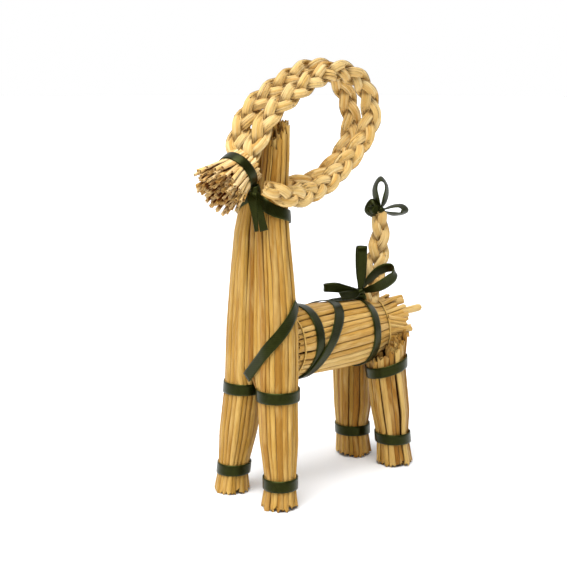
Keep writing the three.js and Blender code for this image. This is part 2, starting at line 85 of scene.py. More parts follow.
def mix(low: float, high: float, part: float) -> float:
    """The value a part of the way from low to high."""
    return low + (high - low) * part


def smooth(low: float, high: float, value: float) -> float:
    """0 below low, 1 above high, and an even curve between them."""
    part = min(max((value - low) / (high - low), 0.0), 1.0)
    return part * part * (3 - 2 * part)


def linear(code: str) -> tuple[float, float, float, float]:
    """An sRGB hex colour as linear RGBA."""
    channels = [int(code[i:i + 2], 16) / 255 for i in (1, 3, 5)]
    curve = [c / 12.92 if c <= 0.04045 else ((c + 0.055) / 1.055) ** 2.4 for c in channels]
    return (*curve, 1.0)


def curve_through(points: list[Vector], count: int) -> list[Vector]:
    """Evenly spaced points on a smooth curve.

    Args:
        points: what the curve passes through.
        count: how many points to return.

    Returns:
        The points, by distance along the curve.
    """
    ends = [points[0] * 2 - points[1], *points, points[-1] * 2 - points[-2]]
    dense: list[Vector] = []
    for a, b, c, d in zip(ends, ends[1:], ends[2:], ends[3:]):
        knots = [0.0]
        for p, q in ((a, b), (b, c), (c, d)):
            knots.append(knots[-1] + max((q - p).length, 1e-6) ** 0.5)
        for step in range(24):
            t = mix(knots[1], knots[2], step / 24)
            ab = a + (b - a) * ((t - knots[0]) / (knots[1] - knots[0]))
            bc = b + (c - b) * ((t - knots[1]) / (knots[2] - knots[1]))
            cd = c + (d - c) * ((t - knots[2]) / (knots[3] - knots[2]))
            abc = ab + (bc - ab) * ((t - knots[0]) / (knots[2] - knots[0]))
            bcd = bc + (cd - bc) * ((t - knots[1]) / (knots[3] - knots[1]))
            dense.append(abc + (bcd - abc) * ((t - knots[1]) / (knots[2] - knots[1])))
    dense.append(points[-1].copy())
    lengths = [0.0]
    for a, b in zip(dense, dense[1:]):
        lengths.append(lengths[-1] + (b - a).length)
    result: list[Vector] = []
    at = 0
    for step in range(count):
        want = lengths[-1] * step / (count - 1)
        while at < len(dense) - 2 and lengths[at + 1] < want:
            at += 1
        part = (want - lengths[at]) / max(lengths[at + 1] - lengths[at], 1e-9)
        result.append(dense[at].lerp(dense[at + 1], min(part, 1.0)))
    return result


def shares(count: int, spread: float, rng: random.Random) -> list[tuple[float, float]]:
    """Parts a bundle's girth between straws of uneven width.

    Args:
        count: how many straws lie round it.
        spread: how far a straw's width strays from an even share, as a part of that.
        rng: the random draws.

    Returns:
        For each straw, its middle as a turn, and its width as a multiple of an even share.
    """
    widths = [rng.uniform(1 - spread, 1 + spread) for _ in range(count)]
    result, at = [], rng.random() / count
    for width in widths:
        part = width / sum(widths)
        result.append((at + part / 2, part * count))
        at += part
    return result


def half_size(even: float, share: float, depth: float) -> tuple[float, float]:
    """Half the width and half the thickness of a straw.

    Args:
        even: an even share of the bundle's girth.
        share: the straw's own width as a multiple of that.
        depth: half its thickness if it has an even share.

    Returns:
        The two, a little over its share, so that neighbours press into each other.
    """
    return even * 0.52 * share, depth * mix(0.6, share, 0.5)


def between(values: list[float], t: float) -> float:
    """The value at a part t of the way through evenly spaced ones."""
    at = t * (len(values) - 1)
    k = min(int(at), len(values) - 2)
    return mix(values[k], values[k + 1], at - k)


def tangents(path: list[Vector], closed: bool = False) -> list[Vector]:
    """The unit direction of a path at each of its points."""
    last = len(path) - 1
    result = []
    for i in range(len(path)):
        before = path[(i - 1) % (last + 1)] if closed else path[max(i - 1, 0)]
        after = path[(i + 1) % (last + 1)] if closed else path[min(i + 1, last)]
        result.append((after - before).normalized())
    return result


def length_of(path: list[Vector]) -> float:
    """The length of a path."""
    return sum((b - a).length for a, b in zip(path, path[1:]))


# ---- Lofts: the form of each bundle -------------------------------------------------------------------------


@dataclass(frozen=True)
class Station:
    """A section of a bundle: an oval of two half circles and two flats, somewhere along the bundle."""

    along: float
    radius: float
    cu: float = 0.0
    cv: float = 0.0
    spread: float = 0.0


@dataclass(frozen=True)
class Loft:
    """A bundle's outer form, over the crests of its straws."""

    stations: tuple[Station, ...]
    origin: Vector = field(default_factory=lambda: Vector((0, 0, 0)))
    u: Vector = field(default_factory=lambda: X.copy())
    v: Vector = field(default_factory=lambda: Y.copy())

    @property
    def travel(self) -> Vector:
        """The direction from the bundle's first end to its last."""
        return self.u.cross(self.v)

    def section(self, along: float) -> Station:
        """The section at a place along the bundle, eased between its stations."""
        pairs = list(zip(self.stations, self.stations[1:]))
        low, high = next((p for p in pairs if along <= p[1].along), pairs[-1])
        part = min(max((along - low.along) / (high.along - low.along), 0.0), 1.0)
        return Station(
            along,
            mix(low.radius, high.radius, part),
            mix(low.cu, high.cu, part),
            mix(low.cv, high.cv, part),
            mix(low.spread, high.spread, part),
        )

    def place(self, along: float, across: float, up: float) -> Vector:
        """The point at a place in the section's own plane."""
        section = self.section(along)
        return self.origin + self.u * (section.cu + across) + self.v * (section.cv + up) + self.travel * along

    def rim(self, along: float, turn: float, lift: float = 0.0) -> tuple[Vector, Vector]:
        """A point on the bundle's outside.

        Args:
            along: how far along the bundle.
            turn: how far round it, from 0 to 1, starting at +u.
            lift: how far outside its straws' crests.

        Returns:
            The point, and the outward direction in the section.
        """
        section = self.section(along)
        radius, spread = section.radius, section.spread
        quarter = radius * math.pi / 2
        rest = (turn % 1.0) * 4 * (quarter + spread)
        corners = ((spread, 0.0, quarter), (spread, math.pi / 2, 2 * spread), (-spread, math.pi / 2, 2 * quarter),
                   (-spread, -math.pi / 2, 2 * spread), (spread, -math.pi / 2, quarter + 1e-6))
        for number, (centre, start, length) in enumerate(corners):
            if rest <= length:
                break
            rest -= length
        if number in (1, 3):
            sign = 1 if number == 1 else -1
            offset, normal = Vector((centre - sign * rest, sign * radius)), Vector((0, sign))
        else:
            angle = start + rest / radius
            normal = Vector((math.cos(angle), math.sin(angle)))
            offset = Vector((centre, 0)) + normal * radius
        offset += normal * lift
        out = (self.u * normal.x + self.v * normal.y).normalized()
        return self.place(along, offset.x, offset.y), out

    def girth(self, along: float) -> float:
        """The length round the bundle."""
        section = self.section(along)
        return TAU * section.radius + 4 * section.spread


# ---- The goat's measures ------------------------------------------------------------------------------------


@dataclass(frozen=True)
class Measures:
    """The goat's sizes and the lofts worked out from them, in millimetres."""

    pinch: float = 3.6
    knee: float = 62.0
    fork: float = 65.5
    front_ankle: float = 14.0
    rear_ankle: float = 17.5
    rear_top: float = 60.2
    body_height: float = 86.0
    body_fall: float = 0.042
    body_front: float = -32.6
    body_rear: float = 58.0
    muzzle_pitch: float = math.radians(32)
    muzzle_tie: tuple[float, float, float] = (0.0, -62.8, 183.1)
    plait_period: float = 41.0

    def front_leg(self, side: int) -> Loft:
        """The loft of a front leg, from its foot up into the fork."""
        return Loft((
            Station(0, 11, 19.4 * side, -50.7),
            Station(self.front_ankle - self.pinch, 9.4, 19.2 * side, -50.1),
            Station(self.front_ankle + self.pinch, 9.4, 18.6 * side, -49.6),
            Station(36, 11.5, 16.2 * side, -48.1),
            Station(self.knee - self.pinch, 11.8, 13.6 * side, -46.5),
            Station(self.knee + self.pinch, 11.8, 13.2 * side, -46),
            Station(73, 11.8, 12.8 * side, -45.6),
        ))

    def neck(self) -> Loft:
        """The loft of the neck and chest, from the fork up."""
        return Loft((
            Station(self.fork, 12.1, cv=-45.8, spread=12.9),
            Station(96, 12, cv=-45, spread=12.2),
            Station(125, 11.2, cv=-45, spread=10.1),
            Station(150, 10.3, cv=-45, spread=7.8),
            Station(168, 9.2, cv=-43.3, spread=5.8),
            Station(190, 8.4, cv=-41, spread=6),
            Station(206, 8, cv=-40.6, spread=6.4),
            Station(222, 7.8, cv=-40.2, spread=6.4),
        ))

    def body(self) -> Loft:
        """The loft of the lying bundle, from the neck to the rump."""
        def station(along: float, radius: float) -> Station:
            return Station(along, radius, cv=(along - self.body_front) * self.body_fall)

        return Loft(
            (station(self.body_front, 19.7), station(-26, 20.7), station(12, 20.7), station(32, 20),
             station(44, 17.2), station(self.body_rear, 18.2), station(90, 20)),
            Vector((0, 0, self.body_height)), X.copy(), -Z,
        )

    def rear_leg(self, side: int) -> Loft:
        """The loft of a rear leg, from its foot to under the body."""
        foot = 53.2 if side > 0 else 49.4
        return Loft((
            Station(0, 12, 15.1 * side, foot),
            Station(self.rear_ankle - self.pinch, 10.7, 14.9 * side, foot - 1.7),
            Station(self.rear_ankle + self.pinch, 10.7, 14.7 * side, foot - 2.5),
            Station(34, 12.3, 14.6 * side, foot / 2 + 22.5),
            Station(self.rear_top + self.pinch, 12.4, 14 * side, 44.8),
            Station(76, 12.4, 13.9 * side, 44.5),
            Station(90, 12.4, 13.9 * side, 44.5),
        ))

    def muzzle(self) -> Loft:
        """The loft of the muzzle, from behind its tie to its cut face."""
        pitch = self.muzzle_pitch
        up = Vector((0, -math.sin(pitch), math.cos(pitch)))
        stations = (Station(-8, 10.9), Station(self.pinch, 11.1), Station(17.8, 15.7))
        return Loft(stations, Vector(self.muzzle_tie), X.copy(), up)

    def shift(self) -> Vector:
        """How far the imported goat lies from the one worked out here, found from an ankle ribbon."""
        low, high = (Vector(corner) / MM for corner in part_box("front_left_ankle_ribbon"))
        ankle = self.front_leg(1).place(self.front_ankle, 0, 0)
        middle = (low + high) / 2
        return Vector((middle.x - ankle.x, middle.y - ankle.y, 0))


# ---- Meshes -------------------------------------------------------------------------------------------------


@lru_cache(maxsize=None)
def template(sides: int, rings: int, hollow: bool) -> bpy.types.Mesh:
    """A straight tube of radius 1 and length 1 about the origin, along Z.

    Args:
        sides: facets round the tube.
        rings: facets along it.
        hollow: whether its two ends have an inner edge, which can be sunk into the tube.

    Returns:
        The tube, to be copied into a piece and bent to its route.
    """
    bm = bmesh.new()
    bmesh.ops.create_cone(bm, cap_ends=True, cap_tris=False, segments=sides, radius1=1, radius2=1, depth=1)
    upright = [e for e in bm.edges if abs(e.verts[0].co.z - e.verts[1].co.z) > 0.5]
    bmesh.ops.subdivide_edges(bm, edges=upright, cuts=rings - 1)
    if hollow:
        caps = [f for f in bm.faces if abs(f.normal.z) > 0.5]
        bmesh.ops.inset_individual(bm, faces=caps, thickness=0.34)
    for face in bm.faces:
        face.smooth = abs(face.normal.z) < 0.5
    for edge in bm.edges:
        edge.smooth = all(face.smooth for face in edge.link_faces)
    data = bpy.data.meshes.new("straight_tube")
    bm.to_mesh(data)
    bm.free()
    return data


class Mesh:
    """One piece being built in bmesh, with the attributes that its finish reads."""

    def __init__(self) -> None:
        """Starts an empty mesh."""
        self.bm = bmesh.new()

    def layers(self) -> tuple:
        """The grain, tint and shade attributes, made where they are missing: that frees all vertices in hand."""
        layers = self.bm.verts.layers
        if "shade" not in layers.float:
            layers.float_vector.new("grain")
            layers.float.new("tint")
            layers.float.new("shade")
        return layers.float_vector["grain"], layers.float["tint"], layers.float["shade"]

    def copy_in(self, data: bpy.types.Mesh) -> list[bmesh.types.BMVert]:
        """Adds a template's geometry and returns its new vertices."""
        before = len(self.bm.verts)
        self.bm.from_mesh(data)
        self.layers()
        return list(self.bm.verts)[before:]

    def tube(
        self,
        route: Route,
        size: Callable[[float], tuple[float, float]],
        tint: float,
        sides: int = 8,
        rings: int = 20,
        hollow: float = 0.0,
        ragged: float = 0.0,
        gap: tuple[float, float] = (-0.25, 0.55),
        folded: bool = False,
        shade: Callable[[float], float] = lambda t: 1.0,
    ) -> None:
        """Sweeps an oval tube along a route.

        Args:
            route: the tube's centres, and the outward direction at each.
            size: half the tube's width and half its thickness, at a part t of its length.
            tint: the straw's own number from 0 to 1, which its colour follows.
            sides: facets round the tube.
            rings: facets along it.
            hollow: how deep the holes in its two ends are.
            ragged: how unevenly its two ends are cut.
            gap: how far out across the tube its painted shade starts to clear, and where it has cleared.
            folded: whether both of its faces show, so that the painted shade is alike on both.
            shade: how much painted light it keeps along its length, from 0, painted shade as in a gap, to 1 in the
                open.
        """
        path, outs = route
        length = length_of(path)
        ahead = tangents(path)
        last = len(path) - 1
        offset = Vector((tint * 91, tint * 57, tint * 533))
        verts = self.copy_in(template(sides, rings, hollow > 0))
        grain_layer, tint_layer, shade_layer = self.layers()
        for v in verts:
            c, s = v.co.x, v.co.y
            inner = math.hypot(c, s) < 0.9
            end = abs(v.co.z) > 0.499
            t = v.co.z * (1 - 2 * hollow / length if inner else 1) + 0.5
            if end and ragged:
                t += math.copysign(ragged / length, v.co.z) * math.sin(tint * 613 + 2.2 * c + 3.4 * s)
            at = min(max(int(t * last), 0), last - 1)
            part = t * last - at
            centre = path[at].lerp(path[at + 1], part)
            along = ahead[at].lerp(ahead[at + 1], part).normalized()
            out = outs[at].lerp(outs[at + 1], part)
            out = (out - along * out.dot(along)).normalized()
            width, depth = size(t)
            v[grain_layer] = Vector((c * 1.6, s * 1.6, t * length)) + offset
            v[tint_layer] = tint
            # Painted shade: the sides where the straw meets its neighbours and the holes in its ends take the gap
            # colour; its cut ends are painted clear.
            clear = 1.0 if end and hollow else smooth(*gap, abs(c) if folded else c)
            v[shade_layer] = 0.35 if inner else shade(min(max(t, 0.0), 1.0)) * clear
            v.co = centre + out * (c * depth) + along.cross(out) * (s * width)

    def band(
        self,
        path: list[Vector],
        outs: list[Vector],
        width: Callable[[float], float],
        closed: bool = False,
        thickness: float = 0.4,
        across: int = 6,
        camber: float = 0.12,
        tint: float = 0.5,
    ) -> None:
        """Lays a flat ribbon along a route.

        Args:
            path: the middle of the ribbon.
            outs: the direction that its face looks, at each point.
            width: its width, at a part t of its length.
            closed: whether its end meets its start.
            thickness: how thick it is.
            across: facets over its width.
            camber: how far its edges lie below its middle.
            tint: a number that its finish varies with.
        """
        count = len(path) if closed else len(path) - 1
        grain_layer, tint_layer, shade_layer = self.layers()
        verts = bmesh.ops.create_grid(self.bm, x_segments=count, y_segments=across, size=0.5)["verts"]
        ahead = tangents(path, closed)
        length = length_of(path)
        for v in verts:
            t, row = v.co.x + 0.5, v.co.y * 2
            at = round(t * count) % len(path)
            out = (outs[at] - ahead[at] * outs[at].dot(ahead[at])).normalized()
            side = out.cross(ahead[at])
            half = width(t) / 2
            v[grain_layer] = Vector((t * length, row * half, tint * 100))
            v[tint_layer] = tint
            v[shade_layer] = 1.0
            v.co = path[at] + side * (row * half) - out * (camber * row * row)
        faces = list(dict.fromkeys(f for v in verts for f in v.link_faces))
        uv_layer = self.bm.loops.layers.uv.get(RIBBON_UV) or self.bm.loops.layers.uv.new(RIBBON_UV)
        grain_layer = self.layers()[0]
        for loop in (loop for face in faces for loop in face.loops):
            loop[uv_layer].uv = (loop.vert[grain_layer].y * 0.01, loop.vert[grain_layer].x * 0.01)
        if closed:
            ends = [v for v in verts if len(v.link_faces) <= 2]
            bmesh.ops.remove_doubles(self.bm, verts=ends, dist=1e-4)
            faces = [f for f in faces if f.is_valid]
        for face in faces:
            face.normal_update()
        bmesh.ops.solidify(self.bm, geom=faces, thickness=thickness)

    def core(self, loft: Loft, low: float, high: float, inset: float, rings: int = 14) -> None:
        """Fills a bundle behind its straws with a core that is painted all shade, in the gap colour, and shows dark
        between them.

        Args:
            loft: the bundle.
            low: where the core starts along it.
            high: where it ends.
            inset: how far it lies inside the straws' crests.
            rings: facets along it.
        """
        verts = self.copy_in(template(24, rings, False))
        # The core's shade attribute stays 0, so its finish paints it as shade.
        grain_layer = self.layers()[0]
        for v in verts:
            turn = math.atan2(v.co.y, v.co.x) / TAU
            v.co = loft.rim(mix(low, high, v.co.z + 0.5), turn, -inset)[0]
            v[grain_layer] = v.co

    def finish(self, name: str, slot: str, finish: bpy.types.Material, nodes: tuple[str, ...]) -> bpy.types.Object:
        """Moves the mesh into the frame and makes it a piece.

        Args:
            name: the piece's name.
            slot: the record's slot that it takes its finish from; not used.
            finish: its material.
            nodes: the CAD nodes that it stands for.

        Returns:
            The finished object.
        """
        shift = Measures().shift()
        for v in self.bm.verts:
            v.co = (v.co + shift) * MM
            v.co.z = max(v.co.z, 0.0)
        bmesh.ops.recalc_face_normals(self.bm, faces=self.bm.faces)
        for face in self.bm.faces:
            face.smooth = len(face.verts) == 4
        data = bpy.data.meshes.new(name)
        self.bm.to_mesh(data)
        self.bm.free()
        data.materials.append(finish)
        piece = bpy.data.objects.new(name, data)
        bpy.context.scene.collection.objects.link(piece)
        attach(piece, "root")
        if nodes:
            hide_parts(*nodes)
        LOG.info("%s: %d faces", name, len(data.polygons))
        return piece


# ---- Finishes -----------------------------------------------------------------------------------------------


class Slot(Enum):
    """The record's material slots."""

    STRAW = "straw"
    PLAIT = "plaited_straw"
    RIBBON = "ribbon"
    THREAD = "thread"


def add_node(tree: bpy.types.NodeTree, kind: str, settings: dict, links: dict) -> bpy.types.Node:
    """Adds a node.

    Args:
        tree: the material's node tree.
        kind: the node's type.
        settings: values by the name of a property or an input.
        links: output sockets by the name or number of the input that they feed.

    Returns:
        The new node.
    """
    node = tree.nodes.new(kind)
    for key, value in settings.items():
        if isinstance(key, str) and hasattr(node, key):
            setattr(node, key, value)
        else:
            node.inputs[key].default_value = value
    for key, socket in links.items():
        tree.links.new(socket, node.inputs[key])
    return node


def new_material(name: str) -> tuple[bpy.types.Material, bpy.types.NodeTree, bpy.types.Node]:
    """A material with only its shader and output, and these two's tree."""
    material = bpy.data.materials.new(name)
    material.use_nodes = True
    tree = material.node_tree
    tree.nodes.clear()
    shader = tree.nodes.new("ShaderNodeBsdfPrincipled")
    add_node(tree, "ShaderNodeOutputMaterial", {}, {"Surface": shader.outputs["BSDF"]})
    return material, tree, shader


def set_ramp(node: bpy.types.Node, stops: list[tuple[float, str]]) -> None:
    """Gives a colour ramp its stops."""
    ramp = node.color_ramp
    while len(ramp.elements) < len(stops):
        ramp.elements.new(0.5)
    for element, (position, code) in zip(ramp.elements, stops):
        element.position = position
        element.color = linear(code)


@dataclass(frozen=True)
class RyeStraw:
    """Dried rye straw: waxy stems of several tones with fine lengthways fibres, and painted dark brown shade in the
    gaps.
    """

    name: str = "rye_straw_standing_shaded"
    # These tones are the standing straw's, painted darker as shade on the upright legs and neck.
    tones: tuple[str, ...] = ("#9C7630", "#AE8238", "#C0964A", "#9C6B29", "#CDA962", "#A87B32", "#87561B", "#B5883E")
    streak: str = "#64370C"
    bleach: str = "#DAB974"
    # The colour of the painted shade in the gaps between straws, in their holes and over the cores.
    gap: str = "#301402"
    gloss: str = "#F2CE8A"
    roughness: float = 0.45
    fibre_mm: float = 0.4
    streaks: float = 0.6
    bump: float = 0.5

    def material(self) -> bpy.types.Material:
        """The finish as a material."""
        material, tree, shader = new_material(self.name)
        grain = add_node(tree, "ShaderNodeAttribute", {"attribute_name": "grain"}, {})
        tint = add_node(tree, "ShaderNodeAttribute", {"attribute_name": "tint"}, {})
        shade = add_node(tree, "ShaderNodeAttribute", {"attribute_name": "shade"}, {})
        # Each straw has its own tone.
        own = add_node(tree, "ShaderNodeValToRGB", {}, {"Fac": tint.outputs["Fac"]})
        set_ramp(own, [(i / (len(self.tones) - 1), tone) for i, tone in enumerate(self.tones)])
        # Fibres run along the stem, so their pattern is stretched along it.
        stretch = add_node(tree, "ShaderNodeVectorMath", {"operation": "MULTIPLY", 1: (1, 1, 0.025)},
                           {0: grain.outputs["Vector"]})
        fibre = add_node(tree, "ShaderNodeTexNoise", {"Scale": 1 / self.fibre_mm, "Detail": 3.0, "Roughness": 0.65},
                         {"Vector": stretch.outputs["Vector"]})
        dark = add_node(tree, "ShaderNodeMapRange", {
            "From Min": 0.52, "From Max": 0.72, "To Min": 0.0, "To Max": self.streaks}, {"Value": fibre.outputs["Fac"]})
        streaked = add_node(tree, "ShaderNodeMix", {"data_type": "RGBA", 7: linear(self.streak)}, {
            0: dark.outputs["Result"], 6: own.outputs["Color"]})
        # Slow patches along a stem are bleached by the sun.
        slow = add_node(tree, "ShaderNodeVectorMath", {"operation": "MULTIPLY", 1: (0.3, 0.3, 0.05)},
                        {0: grain.outputs["Vector"]})
        patch = add_node(tree, "ShaderNodeTexNoise", {"Scale": 1.0, "Detail": 3.0}, {"Vector": slow.outputs["Vector"]})
        pale = add_node(tree, "ShaderNodeMapRange", {"From Min": 0.45, "From Max": 0.75, "To Min": 0.0, "To Max": 0.6},
                        {"Value": patch.outputs["Fac"]})
        bleached = add_node(tree, "ShaderNodeMix", {"data_type": "RGBA", 7: linear(self.bleach)}, {
            0: pale.outputs["Result"], 6: streaked.outputs[2]})
        # Painted shade: the shade attribute mixes the straw towards the gap colour.
        depth = add_node(tree, "ShaderNodeMapRange", {"interpolation_type": "SMOOTHSTEP"},
                         {"Value": shade.outputs["Fac"]})
        colour = add_node(tree, "ShaderNodeMix", {"data_type": "RGBA", 6: linear(self.gap)}, {
            0: depth.outputs["Result"], 7: bleached.outputs[2]})
        tree.links.new(colour.outputs[2], shader.inputs["Base Color"])
        rough = add_node(tree, "ShaderNodeMapRange", {"To Min": self.roughness - 0.1, "To Max": self.roughness + 0.2},
                         {"Value": fibre.outputs["Fac"]})
        tree.links.new(rough.outputs["Result"], shader.inputs["Roughness"])
        relief = add_node(tree, "ShaderNodeBump", {"Strength": self.bump, "Distance": 0.0003},
                          {"Height": fibre.outputs["Fac"]})
        tree.links.new(relief.outputs["Normal"], shader.inputs["Normal"])
        shader.inputs["IOR"].default_value = 1.42
        shader.inputs["Specular Tint"].default_value = linear(self.gloss)
        return material


@dataclass(frozen=True)
class SatinRibbon:
    """Polyester satin: near-black green thread whose long floats take a soft green gloss."""

    name: str = "satin_ribbon_green"
    body: str = "#0B0B02"
    float_light: str = "#1B1E08"
    edge: str = "#2A3010"
    gloss: str = "#A9B262"
    roughness: float = 0.32
    anisotropy: float = 0.75
    selvedge_mm: float = 2.75
    thread_mm: float = 0.42  # real threads are a tenth of a millimetre apart, too fine to show

    def material(self) -> bpy.types.Material:
        """The finish as a material."""
        material, tree, shader = new_material(self.name)
        grain = add_node(tree, "ShaderNodeAttribute", {"attribute_name": "grain"}, {})
        apart = add_node(tree, "ShaderNodeSeparateXYZ", {}, {0: grain.outputs["Vector"]})
        weave = add_node(tree, "ShaderNodeTexWave", {
            "wave_type": "BANDS", "bands_direction": "DIAGONAL", "Scale": 1 / (self.thread_mm * 6.3),
            "Distortion": 0.6, "Detail": 1.0}, {"Vector": grain.outputs["Vector"]})
        crease = add_node(tree, "ShaderNodeTexNoise", {"Scale": 0.5, "Detail": 3.0},
                          {"Vector": grain.outputs["Vector"]})
        tone = add_node(tree, "ShaderNodeMath", {"operation": "MULTIPLY_ADD", 1: 0.3},
                        {0: weave.outputs["Fac"], 2: crease.outputs["Fac"]})
        ramp = add_node(tree, "ShaderNodeValToRGB", {}, {"Fac": tone.outputs["Value"]})
        set_ramp(ramp, [(0.4, self.body), (0.85, self.float_light)])
        outward = add_node(tree, "ShaderNodeMath", {"operation": "ABSOLUTE"}, {0: apart.outputs["Y"]})
        selvedge = add_node(tree, "ShaderNodeMapRange", {
            "From Min": self.selvedge_mm, "From Max": self.selvedge_mm + 0.3}, {"Value": outward.outputs["Value"]})
        colour = add_node(tree, "ShaderNodeMix", {"data_type": "RGBA", 7: linear(self.edge)}, {
            0: selvedge.outputs["Result"], 6: ramp.outputs["Color"]})
        tree.links.new(colour.outputs[2], shader.inputs["Base Color"])
        relief = add_node(tree, "ShaderNodeBump", {"Strength": 0.12, "Distance": 0.0001},
                          {"Height": weave.outputs["Fac"]})
        tree.links.new(relief.outputs["Normal"], shader.inputs["Normal"])
        shader.inputs["Roughness"].default_value = self.roughness
        shader.inputs["Specular Tint"].default_value = linear(self.gloss)
        shader.inputs["IOR"].default_value = 1.52
        # The long floats stretch each highlight over the ribbon's width.
        across = add_node(tree, "ShaderNodeTangent", {"direction_type": "UV_MAP", "uv_map": RIBBON_UV}, {})
        tree.links.new(across.outputs["Tangent"], shader.inputs["Tangent"])
        shader.inputs["Anisotropic"].default_value = self.anisotropy
        return material


# ---- Bundles ------------------------------------------------------------------------------------------------


@dataclass
class FrontBundle:
    """The neck and the two front legs: long straws that run from each foot to the top of the neck."""

    measures: Measures
    rng: random.Random
    straws_per_leg: int = 21
    width_spread: float = 0.3
    straw_depth: float = 1.7
    straw_inset: float = 1.6
    core_inset: float = 2.8
    sway: float = 0.45
    points: int = 46
    crown_middle: float = -40.6
    crown_height: float = 206.0
    crown_slope: float = 1.15
    # Rings of torn straws in the neck's top: how far out each lies, and how many straws it has.
    crown_rings: tuple[tuple[float, int], ...] = ((0.86, 22), (0.62, 14), (0.25, 8))
    neck: Loft = field(init=False)

    def __post_init__(self) -> None:
        """Works out the neck's loft."""
        self.neck = self.measures.neck()

    def crown(self, y: float) -> float:
        """How high the neck's slanting top is."""
        return self.crown_height + self.crown_slope * (y - self.crown_middle)

    def neck_offset(self, along: float, angle: float, inset: float) -> tuple[Vector, Vector]:
        """Where a left leg's straw lies in the neck, and its outward direction.

        Args:
            along: the height.
            angle: the straw's place round its leg, from -pi to pi, 0 being outermost.
            inset: how far its centre lies inside the crests.

        Returns:
            The point and the outward direction.
        """
        section = self.neck.section(along)
        sign = 1 if angle >= 0 else -1
        if abs(angle) <= math.pi / 2:
            normal = Vector((math.cos(angle), math.sin(angle), 0))
            point = Vector((section.spread, section.cv, along)) + normal * (section.radius - inset)
            return point, normal
        part = min((abs(angle) - math.pi / 2) / (math.pi * 0.42), 1.0)
        dive = 6 * smooth(0.85, 1.2, (abs(angle) - math.pi / 2) / (math.pi * 0.42))
        normal = Vector((0, sign, 0))
        return Vector((section.spread * (1 - part), section.cv + sign * (section.radius - inset - dive), along)), normal

    def route(self, side: int, angle: float, leg: Loft, sink: float, low: float) -> Route:
        """The line of one straw, from foot to crown."""
        end = self.neck_offset(205, angle, self.straw_inset)[0]
        crown = self.crown(end.y) - 6 * self.rng.random() ** 1.5 - 3.5 * smooth(-40, -33, end.y) * self.rng.random()
        path, outs = [], []
        last = self.points - 1
        sway = [self.rng.uniform(-self.sway, self.sway) for _ in range(7)]
        for i in range(self.points):
            along = mix(low, crown, i / last)
            inset = self.straw_inset + sink * (0.45 + 0.55 * smooth(95, 165, along))
            section = leg.section(min(along, 73))
            normal = Vector((math.cos(angle), math.sin(angle), 0))
            below = Vector((abs(section.cu), section.cv, along)) + normal * (section.radius - inset)
            above, out = self.neck_offset(max(along, self.measures.fork), angle, inset)
            above.z = along
            part = smooth(self.measures.knee - 3, self.measures.knee + 16, along)
            point = below.lerp(above, part)
            out = normal.lerp(out, part)
            drift = between(sway, i / last)
            tied = min(abs(along - z) for z in (self.measures.front_ankle, self.measures.knee))
            point += out.cross(Z) * drift * smooth(2, 12, tied)
            path.append(Vector((point.x * side, point.y, point.z)))
            outs.append(Vector((out.x * side, out.y, out.z)))
        return path, outs

    def build(self, finish: bpy.types.Material) -> None:
        """Builds the bundle."""
        mesh = Mesh()
        m = self.measures
        mesh.core(self.neck, 78, 192, self.core_inset)
        for side in (1, -1):
            leg = m.front_leg(side)
            mesh.core(leg, 2.5, 71, self.core_inset, rings=10)
            for turn, share in shares(self.straws_per_leg, self.width_spread, self.rng):
                angle = math.remainder(turn * TAU, TAU)
                sink = self.rng.choice((0.0, 0.0, 0.3, 0.7, 1.1, 1.9))
                low = 0.6 + 2.2 * self.rng.random() ** 2
                route = self.route(side, angle, leg, sink, low)
                top = route[0][-1].z

                def size(t: float, share: float = share, leg: Loft = leg, top: float = top) -> tuple[float, float]:
                    """The straw fills its share of the bundle's girth."""
                    along = t * top
                    own = leg.girth(min(along, 73)) / self.straws_per_leg
                    shared = self.neck.girth(max(along, 66)) / (2 * (self.straws_per_leg - 4))
                    even = mix(own, shared, smooth(60, 76, along)) * (1 + 0.2 * smooth(110, 180, along))
                    return half_size(even, share, self.straw_depth)

                mesh.tube(route, size, self.rng.random(), rings=self.points - 1, hollow=2, ragged=1.4)
        self.fill_feet(mesh)
        self.fill_crown(mesh)
        mesh.finish("neck_and_front_legs_straw", Slot.STRAW.value, finish, ("neck_and_front_legs",))

    def fill_feet(self, mesh: Mesh) -> None:
        """Adds the straws that show only under the feet."""
        for side in (1, -1):
            fill_end(mesh, self.measures.front_leg(side), 0.9, 12, self.rng, gap=3.6)

    def fill_crown(self, mesh: Mesh) -> None:
        """Adds the torn straws that show only at the neck's top."""
        section = self.neck.section(204)
        for row, count in self.crown_rings:
            for k in range(count):
                angle = (k + self.rng.uniform(-0.2, 0.2)) / count * TAU
                x = (section.spread + section.radius - 1.4) * row * math.cos(angle)
                y = section.cv + (section.radius - 1.4) * row * math.sin(angle)
                top = self.crown(y) + self.rng.uniform(-6, 0.5)
                lean = Vector((self.rng.uniform(-1, 1), self.rng.uniform(-1, 1), 0)) * 0.8
                path = [Vector((x, y, mix(182, top, i / 5))) + lean * (i / 5) ** 2 for i in range(6)]
                radius = self.rng.uniform(0.9, 1.7)
                mesh.tube((path, [Vector((math.cos(angle), math.sin(angle), 0))] * 6),
                          lambda t, r=radius: (r, r * 0.6), self.rng.random(), rings=5, hollow=1.2, ragged=1.8,
                          gap=(-1.4, 0.3))


